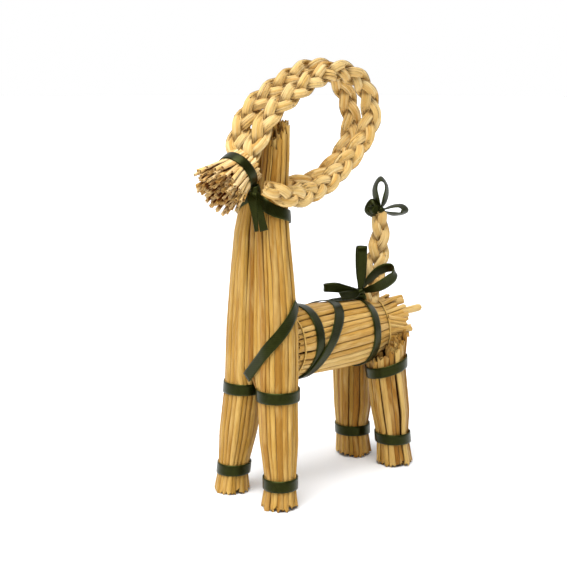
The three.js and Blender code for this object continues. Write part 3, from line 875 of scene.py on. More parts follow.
def fill_end(
    mesh: Mesh, loft: Loft, low: float, high: float, rng: random.Random, gap: float, first: float = 5.2,
) -> None:
    """Packs straws inside a bundle's end, behind those of its outside.

    Args:
        mesh: the piece.
        loft: the bundle.
        low: where the short straws start along it.
        high: where they end.
        rng: the random draws.
        gap: how far apart they lie.
        first: how far inside the crests the outermost row lies.
    """
    reach = loft.section(low).radius - first
    while reach > -0.5:
        count = max(1, round(TAU * max(reach, 0.1) / gap))
        start = rng.random()
        for k in range(count):
            turn = (k + rng.uniform(-0.15, 0.15)) / count + start
            lift = reach - loft.section(low).radius
            ends = []
            for i in range(4):
                along = mix(low, high, i / 3)
                point, out = loft.rim(along, turn, 0)
                centre = loft.place(along, 0, 0)
                part = (loft.section(along).radius + lift) / loft.section(along).radius
                ends.append(centre.lerp(point, max(part, 0.02)))
            mesh.tube((ends, [out] * 4), lambda t: (gap * 0.52, gap * 0.46), rng.random(), rings=3, hollow=4)
        reach -= gap * 0.92


@dataclass(frozen=True)
class LongStraw:
    """A straw that stands out of the rump: where it leaves, how far back it reaches, and how much it rises."""

    x: float
    z: float
    reach: float
    rise: float
    radius: float


@dataclass
class BodyBundle:
    """The lying bundle, with short straws at its rear end and a few that reach far out of it."""

    measures: Measures
    rng: random.Random
    straws: int = 31
    width_spread: float = 0.28
    straw_depth: float = 1.75
    straw_inset: float = 1.5
    core_inset: float = 3.0
    points: int = 24
    flare: float = 2.2
    wind_per_mm: float = 0.0006
    # Rings of short straws in the rear end: how far out each lies, and how many straws it has.
    packed_rings: tuple[tuple[float, int], ...] = ((13.4, 20), (9.6, 15), (5.8, 9), (2.0, 4))
    fringe_straws: int = 8
    long_straws: tuple[LongStraw, ...] = (
        LongStraw(8, 91, 82.5, 1.2, 2.45), LongStraw(4.5, 96.3, 70.5, 1.5, 2.2), LongStraw(0, 97.8, 75, 1, 1.7),
        LongStraw(-4.5, 96.4, 68, 1, 1.8), LongStraw(-9, 91, 71.5, 0, 1.9), LongStraw(12.5, 81, 64.5, -2, 1.9),
        LongStraw(11, 75, 62.5, -2, 1.9), LongStraw(-12.5, 81, 63.5, -2, 1.9), LongStraw(-10, 75, 65.5, -2, 1.8),
        LongStraw(0, 72, 63.5, -2, 1.9), LongStraw(12.2, 88, 66, 0.5, 1.7),
    )
    loft: Loft = field(init=False)

    def __post_init__(self) -> None:
        """Works out the bundle's loft."""
        self.loft = self.measures.body()

    def reach(self, turn: float) -> float:
        """How far in front of the bundle's flat end a straw runs, to meet the neck's round side."""
        neck = self.measures.neck().section(96)
        x = abs(self.loft.rim(self.measures.body_front, turn)[0].x)
        return neck.radius - math.sqrt(neck.radius ** 2 - min(max(x - neck.spread, 0.0), 9) ** 2)

    def build(self, finish: bpy.types.Material) -> None:
        """Builds the bundle."""
        mesh = Mesh()
        m = self.measures
        mesh.core(self.loft, m.body_front + 1, 52, self.core_inset)
        last = self.points - 1
        for turn, share in shares(self.straws, self.width_spread, self.rng):
            rear = m.body_rear + self.rng.uniform(-3.5, 5.5)
            drift = [self.rng.uniform(-0.35, 0.35) / 130 for _ in range(4)]
            inset = self.straw_inset + self.rng.choice((0.0, 0.0, 0.2, 0.4, 0.9))
            front = m.body_front + 0.1 - self.reach(turn)
            path, outs = [], []
            for i in range(self.points):
                along = mix(front, rear, i / last)
                flare = self.flare * smooth(48, 66, along)
                # The straws climb a little round the bundle on their way to the rump.
                wind = -self.wind_per_mm * (along - m.body_front)
                point, out = self.loft.rim(along, turn + wind + between(drift, i / last), -inset + flare)
                path.append(point)
                outs.append(out)

            def size(t: float, share: float = share, rear: float = rear, front: float = front) -> tuple[float, float]:
                """The straw fills its share of the bundle's girth, and is drawn in at the front thread."""
                along = mix(front, rear, t)
                even = self.loft.girth(along) / self.straws * mix(0.86, 1.0, smooth(-30, -22, along))
                return half_size(even, share, self.straw_depth)

            mesh.tube((path, outs), size, self.rng.random(), rings=last, hollow=2, ragged=0.8)
        self.fill_rump(mesh)
        mesh.finish("body_bundle_straw", Slot.STRAW.value, finish, ("body_bundle",))

    def fill_rump(self, mesh: Mesh) -> None:
        """Packs the rear end, and adds the long straws that stand out of it."""
        for row, count in self.packed_rings:
            for k in range(count):
                turn = (k + self.rng.uniform(-0.25, 0.25)) / count
                high = self.rng.uniform(54, 62)
                centre = [self.loft.place(mix(40, high, i / 3), 0, 0) for i in range(4)]
                out = self.loft.rim(50, turn)[1]
                path = [c + out * (row * mix(0.94, 1.08, i / 3)) for i, c in enumerate(centre)]
                mesh.tube((path, [out] * 4), lambda t: (1.8, 1.6), self.rng.random(), rings=3, hollow=1.8, ragged=0.8,
                          gap=(-1.2, 0.2))
        # Short straws fan down over the tops of the rear legs.
        for side in (1, -1):
            for k in range(self.fringe_straws):
                z, spread = 77 + 2.2 * k, self.rng.uniform(-1.3, 1.3)
                tip = Vector(((16.9 + spread / 2) * side, 57.5 + spread, z - 3.6))
                start = Vector((15.4 * side, 44, z))
                path = [start.lerp(tip, i / 5) for i in range(6)]
                mesh.tube((path, [X * side] * 6), lambda t: (1.35, 1.2), self.rng.random(), rings=5, hollow=0.6,
                          ragged=0.8, gap=(-1.0, 0.2))
        for straw in self.long_straws:
            path = [Vector((straw.x, mix(46, straw.reach, i / 5), straw.z + straw.rise * i / 5)) for i in range(6)]
            mesh.tube((path, [Z] * 6), lambda t, r=straw.radius: (r, r * 0.92), self.rng.random(), sides=10, rings=5,
                      hollow=0.6, ragged=0.5, gap=(-3, -1.5))


@dataclass
class RearLeg:
    """A rear leg: straws that end under the body in front and stand up behind it at the back."""

    measures: Measures
    side: int
    rng: random.Random
    straws: int = 21
    width_spread: float = 0.32
    straw_depth: float = 1.7
    straw_inset: float = 1.6
    core_inset: float = 2.8
    points: int = 22
    splay: float = 1.3
    wind_per_mm: float = 0.0004
    into_body: float = 2.2
    crushed_straws: int = 26
    loft: Loft = field(init=False)
    body: Loft = field(init=False)

    def __post_init__(self) -> None:
        """Works out the lofts of the leg and of the body over it."""
        self.loft = self.measures.rear_leg(self.side)
        self.body = self.measures.body()

    def clear_of_body(self, point: Vector) -> bool:
        """Whether a point lies outside the body."""
        if point.y > self.measures.body_rear + 1:
            return True
        section = self.body.section(point.y)
        middle = self.measures.body_height - section.cv
        return math.hypot(point.x, point.z - middle) > section.radius - self.into_body

    def top_of(self, turn: float, inset: float) -> float:
        """How high a straw reaches before it meets the body or the slanting top."""
        height = self.measures.rear_top + 4.0
        while height < 92:
            point, _ = self.loft.rim(height, turn, -inset)
            if not self.clear_of_body(point) or height > 76 + 0.75 * (point.y - 44.5):
                break
            height += 0.5
        return height

    def build(self, finish: bpy.types.Material) -> None:
        """Builds the leg."""
        mesh = Mesh()
        mesh.core(self.loft, 2.5, 63, self.core_inset, rings=10)
        last = self.points - 1
        for turn, share in shares(self.straws, self.width_spread, self.rng):
            inset = self.straw_inset + self.rng.choice((0.0, 0.0, 0.3, 0.7, 1.2))
            low = 0.6 + 2.2 * self.rng.random() ** 2
            high = self.top_of(turn, inset) + self.rng.uniform(-2.5, 0.3)
            lean = self.rng.uniform(-0.012, 0.012)
            path, outs = [], []
            for i in range(self.points):
                along = mix(low, high, i / last)
                # The straws wind a little round the leg, and splay above the ribbon at its top.
                wind = lean * math.sin(math.pi * i / last) - self.wind_per_mm * along
                splay = self.splay * smooth(self.measures.rear_top + 3, 84, along)
                point, out = self.loft.rim(along, turn + wind * self.side, -inset + splay)
                path.append(point)
                outs.append(out)

            def size(t: float, share: float = share, low: float = low, high: float = high) -> tuple[float, float]:
                """The straw fills its share of the leg's girth."""
                return half_size(self.loft.girth(mix(low, high, t)) / self.straws, share, self.straw_depth)

            mesh.tube((path, outs), size, self.rng.random(), rings=last, hollow=1.6, ragged=1.3)
        fill_end(mesh, self.loft, 0.9, 12, self.rng, gap=3.6)
        for _ in range(self.crushed_straws):
            # Crushed ends fill the leg's top where it meets the body.
            turn, row = self.rng.random(), self.rng.uniform(2.5, 8.5)
            inset = self.loft.section(70).radius - row
            high = self.top_of(turn, inset) + self.rng.uniform(-2, 1)
            path = [self.loft.rim(mix(52, high, i / 4), turn, -inset)[0] for i in range(5)]
            out = self.loft.rim(60, turn)[1]
            mesh.tube((path, [out] * 5), lambda t: (1.9, 1.3), self.rng.random(), rings=4, hollow=0.4, ragged=1.5,
                      gap=(-3, -1.5))
        name = "left" if self.side > 0 else "right"
        mesh.finish(f"rear_{name}_leg_straw", Slot.STRAW.value, finish, (f"rear_{name}_leg",))


@dataclass
class Muzzle:
    """The short brush of thin cut straws, tied behind and spreading to a ragged face."""

    measures: Measures
    rng: random.Random
    spacing: float = 1.8
    tied_radius: float = 11.4
    length: float = 18.6
    unevenness: float = 5.5
    cut_shorter: float = 3.2
    points: int = 8
    loft: Loft = field(init=False)

    def __post_init__(self) -> None:
        """Works out the brush's loft."""
        self.loft = self.measures.muzzle()

    def straw(self, mesh: Mesh, turn: float, reach: float, start: float, end: float, radius: float) -> None:
        """Lays one straw of the brush.

        Args:
            mesh: the brush.
            turn: its place round the brush.
            reach: how far out it lies, from 0 in the middle to 1 at the outside.
            start: where it starts along the brush.
            end: where it ends.
            radius: half its width.
        """
        lean, splay = self.rng.uniform(-0.03, 0.03), self.rng.uniform(-0.9, 0.9)
        path, outs = [], []
        last = self.points - 1
        for i in range(self.points):
            along = mix(start, end, i / last)
            out = self.loft.rim(along, turn + lean * i / last)[1]
            spread = (self.loft.section(along).radius - 1.0) * reach + splay * (i / last) ** 2
            path.append(self.loft.place(along, 0, 0) + out * spread)
            outs.append(out)
        flat = self.rng.uniform(0.5, 0.95)
        mesh.tube((path, outs), lambda t: (radius * mix(0.9, 1.1, t), radius * flat), self.rng.random(), sides=7,
                  rings=last, hollow=1.0, ragged=0.7, gap=(-0.9, 0.4))

    def build(self, finish: bpy.types.Material) -> None:
        """Builds the brush."""
        mesh = Mesh()
        mesh.core(self.loft, -7, 11, 2.2, rings=4)
        rings = int(self.tied_radius / self.spacing)
        for ring in range(rings + 1):
            count = max(1, round(6 * ring * 1.05))
            outer = ring == rings
            for k in range(count):
                turn = (k + self.rng.uniform(-0.35, 0.35)) / count
                # The straws on top are whole and long, and those at the near side are cut shorter.
                short = self.cut_shorter * smooth(-0.2, 0.9, math.cos(TAU * (turn - 0.02)))
                end = self.length - self.unevenness * self.rng.random() ** 1.6 - short * ring / rings
                start = self.rng.uniform(-7.5, -6) if outer else 3.0
                self.straw(mesh, turn, ring / rings, start, end, self.rng.uniform(0.8, 1.3 if outer else 1.15))
        mesh.finish("muzzle_bundle_straw", Slot.STRAW.value, finish, ("muzzle_bundle",))


# ---- Plaits -------------------------------------------------------------------------------------------------


@dataclass(frozen=True)
class Plait:
    """A three-strand plait of flattened straws along a curve."""

    name: str
    node: str
    points: tuple[tuple[float, float, float], ...]
    thin: tuple[float, float, float]
    swing: Callable[[float], float]
    thickness: float = 1.5
    straws: int = 5
    straw_width: float = 1.95
    straw_depth: float = 0.62
    spread: float = 1.9
    crown: float = 0.8
    wander: float = 0.35

    def build(self, measures: Measures, rng: random.Random, finish: bpy.types.Material) -> None:
        """Builds the plait.

        Args:
            measures: the goat's sizes.
            rng: the random draws.
            finish: the plaited straw's material.
        """
        mesh = Mesh()
        rough = [Vector(p) for p in self.points]
        length = length_of(curve_through(rough, 200))
        count = round(length / measures.plait_period * 22)
        spine = curve_through(rough, count + 1)
        ahead = tangents(spine)
        thin = Vector(self.thin)
        for strand in range(3):
            centres, throughs, rolls = [], [], []
            for i, (point, along) in enumerate(zip(spine, ahead)):
                through = (thin - along * thin.dot(along)).normalized()
                wide = through.cross(along)
                t = i / count
                angle = TAU * (t * length / measures.plait_period + strand / 3)
                swing = self.swing(t)
                centres.append(point + wide * swing * math.sin(angle) + through * self.thickness * math.sin(2 * angle))
                throughs.append(through)
                rolls.append(angle)
            path_ahead = tangents(centres)
            for k in range(self.straws):
                self.straw(mesh, rng, k, centres, path_ahead, throughs, rolls)
        mesh.finish(self.name, Slot.PLAIT.value, finish, (self.node,))

    def straw(
        self, mesh: Mesh, rng: random.Random, number: int, centres: list[Vector], ahead: list[Vector],
        throughs: list[Vector], rolls: list[float],
    ) -> None:
        """Lays one flattened straw in a strand.

        Args:
            mesh: the plait.
            rng: the random draws.
            number: the straw's place across the strand.
            centres: the strand's middle.
            ahead: its direction at each point.
            throughs: the plait's thin way at each point.
            rolls: the strand's place in its weave at each point.
        """
        place = (number / (self.straws - 1) - 0.5) * 2
        wave = [rng.uniform(-self.wander, self.wander) for _ in range(14)]
        tilt = [rng.uniform(-self.wander, self.wander) for _ in range(14)]
        path, outs, crevice_painted_shade = [], [], []
        for i, (centre, along, through, roll) in enumerate(zip(centres, ahead, throughs, rolls)):
            side = through.cross(along).normalized()
            # A strand shows its round outside: its middle straws stand proud of those at its edges.
            face = math.sin(2 * roll)
            sign = 1 if face >= 0 else -1
            crown = self.crown * (1 - place * place) * sign * smooth(0.0, 0.5, abs(face))
            t = i / (len(centres) - 1)
            path.append(centre + side * (place * self.spread + between(wave, t)) + through * crown)
            outs.append((through + side * (place * 0.6 * sign + between(tilt, t))).normalized())
            # Painted shade: a strand darkens where it comes out from under its neighbour, in the plait's middle, and
            # its straws' edges take painted shade too.
            crevice_painted_shade.append(1 - 0.5 * smooth(0.93, 1.0, abs(math.cos(roll))))
        width = self.straw_width * rng.uniform(0.8, 1.2) * 0.55
        last = len(crevice_painted_shade) - 1
        mesh.tube((path, outs), lambda t: (width, self.straw_depth), rng.random(), sides=6, rings=last, folded=True,
                  gap=(-0.2, 0.4), shade=lambda t: crevice_painted_shade[round(t * last)])


# ---- Ribbons ------------------------------------------------------------------------------------------------


@dataclass
class Ribbons:
    """All the satin ribbon: ties round the bundles, the slanting runs between them, and the bows."""

    measures: Measures
    rng: random.Random
    finish: bpy.types.Material
    width: float = 6.35
    gathered_width: float = 5.6

    def wrap(
        self, mesh: Mesh, loft: Loft, along: Callable[[float], float], start: float = 0.0, end: float = 1.0,
        lift: Callable[[float], float] = lambda turn: 0.45, steps: int = 72, width: float | None = None,
    ) -> None:
        """Lays ribbon on a bundle, all the way round it or part of the way.

        Args:
            mesh: the piece.
            loft: the bundle.
            along: the ribbon's place along the bundle, by turn.
            start: the turn that it starts at.
            end: the turn that it ends at.
            lift: how far it lies over the straws' crests, by turn.
            steps: facets along it.
            width: its width, where it isn't laid flat.
        """
        width = width or self.width
        closed = abs(end - start - 1) < 1e-6
        count = steps if closed else steps + 1
        path, outs = [], []
        half = width / 2
        for i in range(count):
            turn = mix(start, end, i / steps)
            at = along(turn)
            point, _ = loft.rim(at, turn, lift(turn))
            ahead = loft.rim(at, turn + 0.01, lift(turn))[0] - loft.rim(at, turn - 0.01, lift(turn))[0]
            down = loft.rim(at + half, turn, lift(turn))[0] - loft.rim(at - half, turn, lift(turn))[0]
            path.append(point)
            outs.append(ahead.cross(down).normalized())
        mesh.band(path, outs, lambda t: width, closed=closed, camber=0.08, tint=self.rng.random())

    def tie(self, name: str, loft: Loft, along: Callable[[float], float], **options: object) -> None:
        """A ribbon that ties a bundle, as a piece."""
        mesh = Mesh()
        self.wrap(mesh, loft, along, **options)
        mesh.finish(f"{name}_satin", Slot.RIBBON.value, self.finish, (name,))

    def fold(self, mesh: Mesh, knot: Vector, upper: Edge, lower: Edge, steps: int = 40) -> None:
        """A length of ribbon through the air, from where it is tied.

        Args:
            mesh: the piece.
            knot: where it is tied, which its edges are measured from.
            upper: one edge: how far it lies aside, up and in front, point by point.
            lower: the other edge, with as many points.
            steps: facets along it.
        """
        edges = []
        for edge in (upper, lower):
            points = [knot + ASIDE * aside + Z * up + FORE * fore for aside, up, fore in edge]
            edges.append(curve_through(points, steps + 1))
        path = [(a + b) / 2 for a, b in zip(*edges)]
        ahead = tangents(path)
        outs, widths = [], []
        for along, a, b in zip(ahead, *edges):
            side = (a - b) - along * along.dot(a - b)
            outs.append(along.cross(side).normalized())
            widths.append(side.length)
        mesh.band(path, outs, lambda t: widths[round(t * steps)], camber=0.2, tint=self.rng.random())

    def knot(self, mesh: Mesh, centre: Vector, axis: Vector, size: tuple[float, float], width: float) -> None:
        """A short turn of ribbon drawn tight round a bow's middle.

        Args:
            mesh: the piece.
            centre: the knot's middle.
            axis: the line that the ribbon turns about.
            size: half the knot's size in the two ways across the axis.
            width: the ribbon's width there.
        """
        helper = Z if abs(axis.z) < 0.9 else X
        first = axis.cross(helper).normalized()
        second = axis.cross(first).normalized()
        path, outs = [], []
        for i in range(20):
            angle = TAU * i / 20
            offset = first * (size[0] * math.cos(angle)) + second * (size[1] * math.sin(angle))
            path.append(centre + offset)
            outs.append((first * math.cos(angle) + second * math.sin(angle)).normalized())
        mesh.band(path, outs, lambda t: width, closed=True, camber=0.7, thickness=0.7, tint=self.rng.random())

    def build_ties(self) -> None:
        """The ribbons round the legs and the neck."""
        m = self.measures
        for side, name in ((1, "left"), (-1, "right")):
            self.tie(f"front_{name}_ankle_ribbon", m.front_leg(side), lambda turn: m.front_ankle)
            self.tie(f"front_{name}_knee_ribbon", m.front_leg(side), lambda turn: m.knee)
            self.tie(f"rear_{name}_ankle_ribbon", m.rear_leg(side), lambda turn: m.rear_ankle)
        # The rear legs' top ribbons lean: each has a middle height, a lean, and the turn at which it is highest.
        for side, name, middle, lean, highest in ((1, "left", 62.4, 3.8, 0.153), (-1, "right", 66.8, 2.0, 0.347)):
            def leaning(turn: float, middle: float = middle, lean: float = lean, highest: float = highest) -> float:
                """The ribbon's height round the leg."""
                return middle + lean * math.cos(TAU * (turn - highest))

            self.tie(f"rear_{name}_top_ribbon", m.rear_leg(side), leaning, lift=lambda turn: 0.6)

        def neck_height(turn: float) -> float:
            """The neck ribbon dips behind the neck."""
            back = math.sin(TAU * turn)
            return 161 - 4 * back + 5 * max(0.0, -back) ** 3

        self.tie("neck_ribbon", m.neck(), neck_height, lift=lambda turn: 0.7)

    def build_body(self) -> None:
        """The ribbons round the body, and the one over the chest."""
        m = self.measures
        body = m.body()

        def upness(turn: float) -> float:
            """1 on top of the body and -1 under it."""
            return -math.sin(TAU * turn)

        def front(turn: float) -> float:
            """The front turn, a little further back underneath."""
            return mix(-23, -17, (1 + upness(turn)) / 2)

        def slant(turn: float) -> float:
            """The slanting turn, from the top of the back down to the front turn."""
            return mix(-23, 9, ((1 + upness(turn)) / 2) ** 1.6)

        def over(turn: float) -> float:
            """The slanting turn climbs over the front one."""
            return 0.45 + 0.7 * smooth(-0.6, 0, -upness(turn))

        def rear(turn: float) -> float:
            """The rear turn lies furthest back on top, under the bow."""
            return 29.5 + 5.5 * max(0.0, upness(turn)) ** 2 + 2.5 * max(0.0, -upness(turn)) ** 6

        self.tie("body_front_ribbon", body, front, steps=96)
        self.tie("body_slant_ribbon", body, slant, lift=over, steps=96)
        self.tie("rear_body_ribbon", body, rear, steps=96)
        mesh = Mesh()
        self.wrap(mesh, m.neck(), lambda turn: mix(71, 113, (turn + 0.245) / 0.29), -0.245, 0.045, steps=40)
        mesh.finish("chest_ribbon_satin", Slot.RIBBON.value, self.finish, ("chest_ribbon",))

    def build_muzzle(self) -> None:
        """The ribbon round the muzzle, with its knot, a small loop and two frayed ends."""
        mesh = Mesh()
        self.wrap(mesh, self.measures.muzzle(), lambda turn: 0.0, width=self.gathered_width)
        tied = Vector((8.3, -57.7, 173.8))
        self.knot(mesh, tied, Vector((0.2, -0.3, 1)).normalized(), (3.0, 2.8), 6.4)
        self.fold(mesh, tied, (
            (-1.5, 0.5, 1.5), (-4.3, -2.7, 2.6), (-3.2, -7.5, 3.0), (-1.6, -14.5, 3.0), (-0.6, -21.5, 2.6)), (
            (1.5, 0.5, 1.5), (0.9, -3, 3.2), (1.2, -8, 3.6), (1.5, -15, 3.2), (1.6, -21.2, 2.0)), 24)
        self.fold(mesh, tied, (
            (-0.6, 0, 2.0), (0.4, -4.5, 3.4), (1.0, -9.5, 4.0), (1.4, -15, 3.8), (2.3, -21.6, 3.6)), (
            (2.0, 0, 1.0), (3.0, -4.5, 2.4), (4.0, -9.5, 3.0), (5.2, -15.2, 2.6), (6.6, -20.3, 2.0)), 24)
        mesh.finish("muzzle_ribbon_satin", Slot.RIBBON.value, self.finish, ("muzzle_ribbon",))

    def build_rump_bow(self) -> None:
        """The bow on the rump: an upright loop, an open one to the rear and a flat one to the front."""
        mesh = Mesh()
        tied = Vector((0.8, 35.4, 107.4))
        self.knot(mesh, tied, Vector((0.4, 1, 0.3)).normalized(), (3.2, 2.4), 5.2)
        self.fold(mesh, tied, (
            (-1.2, 0.5, 1), (-1.7, 4, 1.6), (-2.2, 10, 2.2), (-2.2, 20, 2.4), (-2.0, 26, 2.2), (-2.2, 27.9, 0.5),
            (-2.8, 26.3, -1.3), (-3.0, 18, -1.6), (-2.4, 9, -1.2), (-0.8, 0.5, 0)), (
            (1.2, 0.5, 1), (2.3, 4, 1.4), (3.4, 10, 1.6), (3.9, 20, 1.6), (3.9, 25.5, 1.4), (3.9, 27.6, -0.2),
            (3.5, 26, -2.0), (3.2, 18, -2.3), (2.8, 9, -1.8), (1, 0.5, 0)), 64)
        self.fold(mesh, tied, (
            (0, 1.2, 0.8), (2.8, 6.4, 1), (5.9, 11, 1.2), (9.3, 14.4, 1.2), (12.8, 16.3, 1.2), (16.9, 17, 2),
            (19, 15.8, 3.6), (18.4, 13.4, 5.4), (16.3, 11.7, 6), (12.8, 9, 5.8), (9.3, 6.5, 5.2), (4.5, 3.8, 3.6),
            (0, 1, 1.2)), (
            (0.5, -0.5, 0), (4.5, 3.4, -1.2), (7.6, 5.4, -2), (11.4, 8.8, -2.2), (15, 10.6, -2.2), (18, 11.4, -2),
            (20.8, 11, -0.8), (21.4, 9, 1.6), (20, 6.2, 2.3), (16.8, 3.4, 2.5), (12.8, 1.1, 2.4), (6.6, -0.2, 1.8),
            (0.3, -0.8, 0.4)), 72)
        self.fold(mesh, tied, (
            (-0.5, 1.2, 0.5), (-4, 1.9, 1.5), (-7.2, 3.2, 2.5), (-10.7, 4.6, 3), (-15.6, 5.7, 3.5), (-20.6, 5.0, 3.6),
            (-21.8, 4.9, 2.6), (-20.4, 5.2, 1.4), (-14, 5.4, 0.6), (-8, 3.6, 0), (-0.5, 1.2, -0.6)), (
            (-0.5, -0.6, 1), (-4, -1.1, 2.5), (-8, -1.2, 3.5), (-11, -0.5, 4), (-15.6, 0.1, 4.5), (-20.4, 0.3, 4.5),
            (-21.5, 0.3, 3.4), (-20, 0.4, 2.2), (-14, 0.1, 1.4), (-8, -1, 0.6), (-0.5, -0.6, -0.2)), 56)
        self.fold(mesh, tied, (
            (-0.5, 1, 1.5), (-4, 1.2, 4), (-9.9, 1.2, 8), (-12.6, 1.0, 9.8)), (
            (-0.3, -0.8, 2.5), (-3.1, -2.8, 7.5), (-8.2, -3.0, 12), (-12.4, -2.8, 14.5)), 24)
        self.fold(mesh, tied, (
            (-0.5, 0, 1), (-6.3, -2.4, 5.5), (-14, -2.4, 11), (-19.4, -2.2, 17)), (
            (0.5, -0.4, 2.5), (-3.5, -3.1, 8.5), (-9.5, -3.1, 14.5), (-14.8, -2.9, 20.6)), 24)
        # The ribbon that the bow is tied on comes up to its knot.
        self.fold(mesh, tied, ((-2.4, 0.5, 0.6), (-3, -1.5, 0.8), (-3.6, -3.2, 0.8), (-4, -5, 0.6)), (
            (2.4, 0.5, 0.6), (3, -1.5, 0.8), (3.6, -3.2, 0.8), (4, -5, 0.6)), 12)
        mesh.finish("rump_bow_satin", Slot.RIBBON.value, self.finish, ("rump_bow",))

    def build_tail_bow(self) -> None:
        """The bow on the tail's tip: an upright loop, one to the rear and a crumpled one to the front."""
        mesh = Mesh()
        tied = Vector((0.3, 53.8, 154.8))
        for size in ((2.6, 2.2), (1.4, 1.2)):
            self.knot(mesh, tied, Vector((0.2, 1, 0)).normalized(), size, 4)
        self.fold(mesh, tied, (
            (-0.3, 0, -1.5), (-3.8, 5, -2.5), (-5.3, 11.2, -2.8), (-3.9, 16.8, -2.8), (0, 20.6, -2.8),
            (4, 16.8, -2.8), (5.4, 11.8, -2.8), (4.2, 5, -2.5), (0.5, 0, -1.5)), (
            (0, 0.8, 1.5), (-1.4, 7.4, 2.2), (-2.8, 13, 2.6), (-2.2, 16.5, 2.6), (0, 18, 2.6), (2.2, 16.5, 2.6),
            (2.7, 13, 2.6), (1.2, 7.4, 2.2), (0, 0.8, 1.5)), 60)
        self.fold(mesh, tied, (
            (0.3, 0.4, -1), (7.4, 3.3, -2.4), (12, 3.9, -2.6), (15.5, 2.7, -2.6), (17.5, -0.4, -2.6),
            (15.5, -2.6, -2.6), (12.6, -3.7, -2.6), (7.5, -3.9, -2.4), (0.3, -0.6, -1)), (
            (0.3, 0.4, 1.5), (7.4, 2.1, 2.4), (9.9, 2.4, 2.6), (12.2, 1.4, 2.6), (13.2, -0.5, 2.6),
            (12.4, -1.3, 2.6), (10.3, -1.7, 2.6), (7.4, -1.3, 2.4), (0.3, -0.4, 1.5)), 60)
        self.fold(mesh, tied, (
            (-0.3, 1.3, -1), (-3, 5.2, -1.3), (-5.9, 6.4, -1.3), (-8.2, 3.8, -1.3), (-9.4, 0, -1.3),
            (-7.5, -2.8, -1.3), (-5, -3.8, -1.3), (-1, -1.6, -1)), (
            (-0.3, 0.6, 1.5), (-1.8, 2.2, 3), (-3.2, 2.6, 3.4), (-4.2, 1.6, 3.6), (-4.6, 0.2, 3.6), (-4, -1, 3.4),
            (-3, -1.3, 3), (-0.5, -0.6, 1.5)), 48)
        self.fold(mesh, tied, ((-0.5, 1.5, 0.5), (-3.5, 4, 1), (-6.5, 3.6, 1), (-8.3, 1, 1)), (
            (-0.5, -1, 0.5), (-3.5, -2.4, 1), (-6.5, -2.4, 1), (-8.3, -0.8, 1)), 20)
        mesh.finish("tail_bow_satin", Slot.RIBBON.value, self.finish, ("tail_bow",))

    def build(self) -> None:
        """Builds all the ribbon."""
        self.build_ties()
        self.build_body()
        self.build_muzzle()
        self.build_rump_bow()
        self.build_tail_bow()


# ---- The goat, its floor, its lights and its camera -------------------------------------------------------


def horn_swing(t: float) -> float:
    """A horn's strands draw together at its two ends."""
    return 3.3 * smooth(-0.04, 0.05, min(t, 1 - t))


def tail_swing(t: float) -> float:
    """The tail is full in the middle and drawn in at its root and tip."""
    return 1.4 + 3 * math.sin(math.pi * min(max(0.12 + 0.88 * t, 0), 1))


def build_plaits(measures: Measures, rng: random.Random, finish: bpy.types.Material) -> None:
    """Builds the two horns and the tail."""
    front = tuple(FORE)
    Plait("left_horn_straw", "left_horn_plait", (
        (4.5, -60.1, 187.5), (7.5, -56.1, 198.7), (9, -46.8, 213.8), (9.8, -25, 227.4), (9, 0, 236.8), (9, 14, 236),
        (8.5, 28, 228), (8.5, 34.6, 214), (8.7, 29, 201), (10, 13, 186.5), (13.5, -13, 173.6), (18.2, -35, 169.8),
        (19, -47, 171.5), (15.4, -57.6, 176)), front, horn_swing).build(measures, rng, finish)
    Plait("right_horn_straw", "right_horn_plait", (
        (-6, -58, 188), (-9, -55, 198.9), (-10, -45.5, 214), (-9.8, -27, 226.6), (-9, -3, 237), (-9, 14, 238),
        (-8.5, 26, 231), (-8.5, 34, 218), (-8.5, 36.4, 205), (-8.9, 28, 188.5), (-11, 11, 176), (-13.5, -8, 172.6),
        (-18, -34, 171.5), (-19, -47, 173), (-15.4, -57.6, 176.5)), front, horn_swing).build(measures, rng, finish)
    Plait("tail_straw", "tail_plait", (
        (0, 45.0, 98.5), (0, 46.6, 110), (0, 49.4, 119), (0, 52.6, 130.3), (0, 54, 140), (0, 53.6, 154)),
        front, tail_swing).build(measures, rng, finish)


@dataclass
class Threads:
    """The two binding threads round the body's ends."""

    measures: Measures
    rng: random.Random
    half_width: float = 0.6
    half_thickness: float = 0.45
    lift: float = 0.35
    waver: float = 0.08
    points: int = 97

    def front(self, turn: float) -> float:
        """The front thread lies just inside the bundle's flat end."""
        return self.measures.body_front + 1.2

    def rear(self, turn: float) -> float:
        """The rear thread is drawn back on top, behind the tail's root."""
        return 44 + 5.5 * ((1 - math.sin(TAU * turn)) / 2) ** 8

    def build(self, finish: bpy.types.Material) -> None:
        """Builds both threads."""
        body = self.measures.body()
        last = self.points - 1
        for name, along in (("body_front_thread", self.front), ("body_rear_thread", self.rear)):
            mesh = Mesh()
            path, outs = [], []
            for i in range(self.points):
                turn = i / last
                point, out = body.rim(along(turn), turn, self.lift + self.waver * math.sin(9 * TAU * turn))
                path.append(point)
                outs.append(out)
            mesh.tube((path, outs), lambda t: (self.half_width, self.half_thickness), self.rng.random(), sides=6,
                      rings=last)
            mesh.finish(f"{name}_raffia", Slot.THREAD.value, finish, (name,))


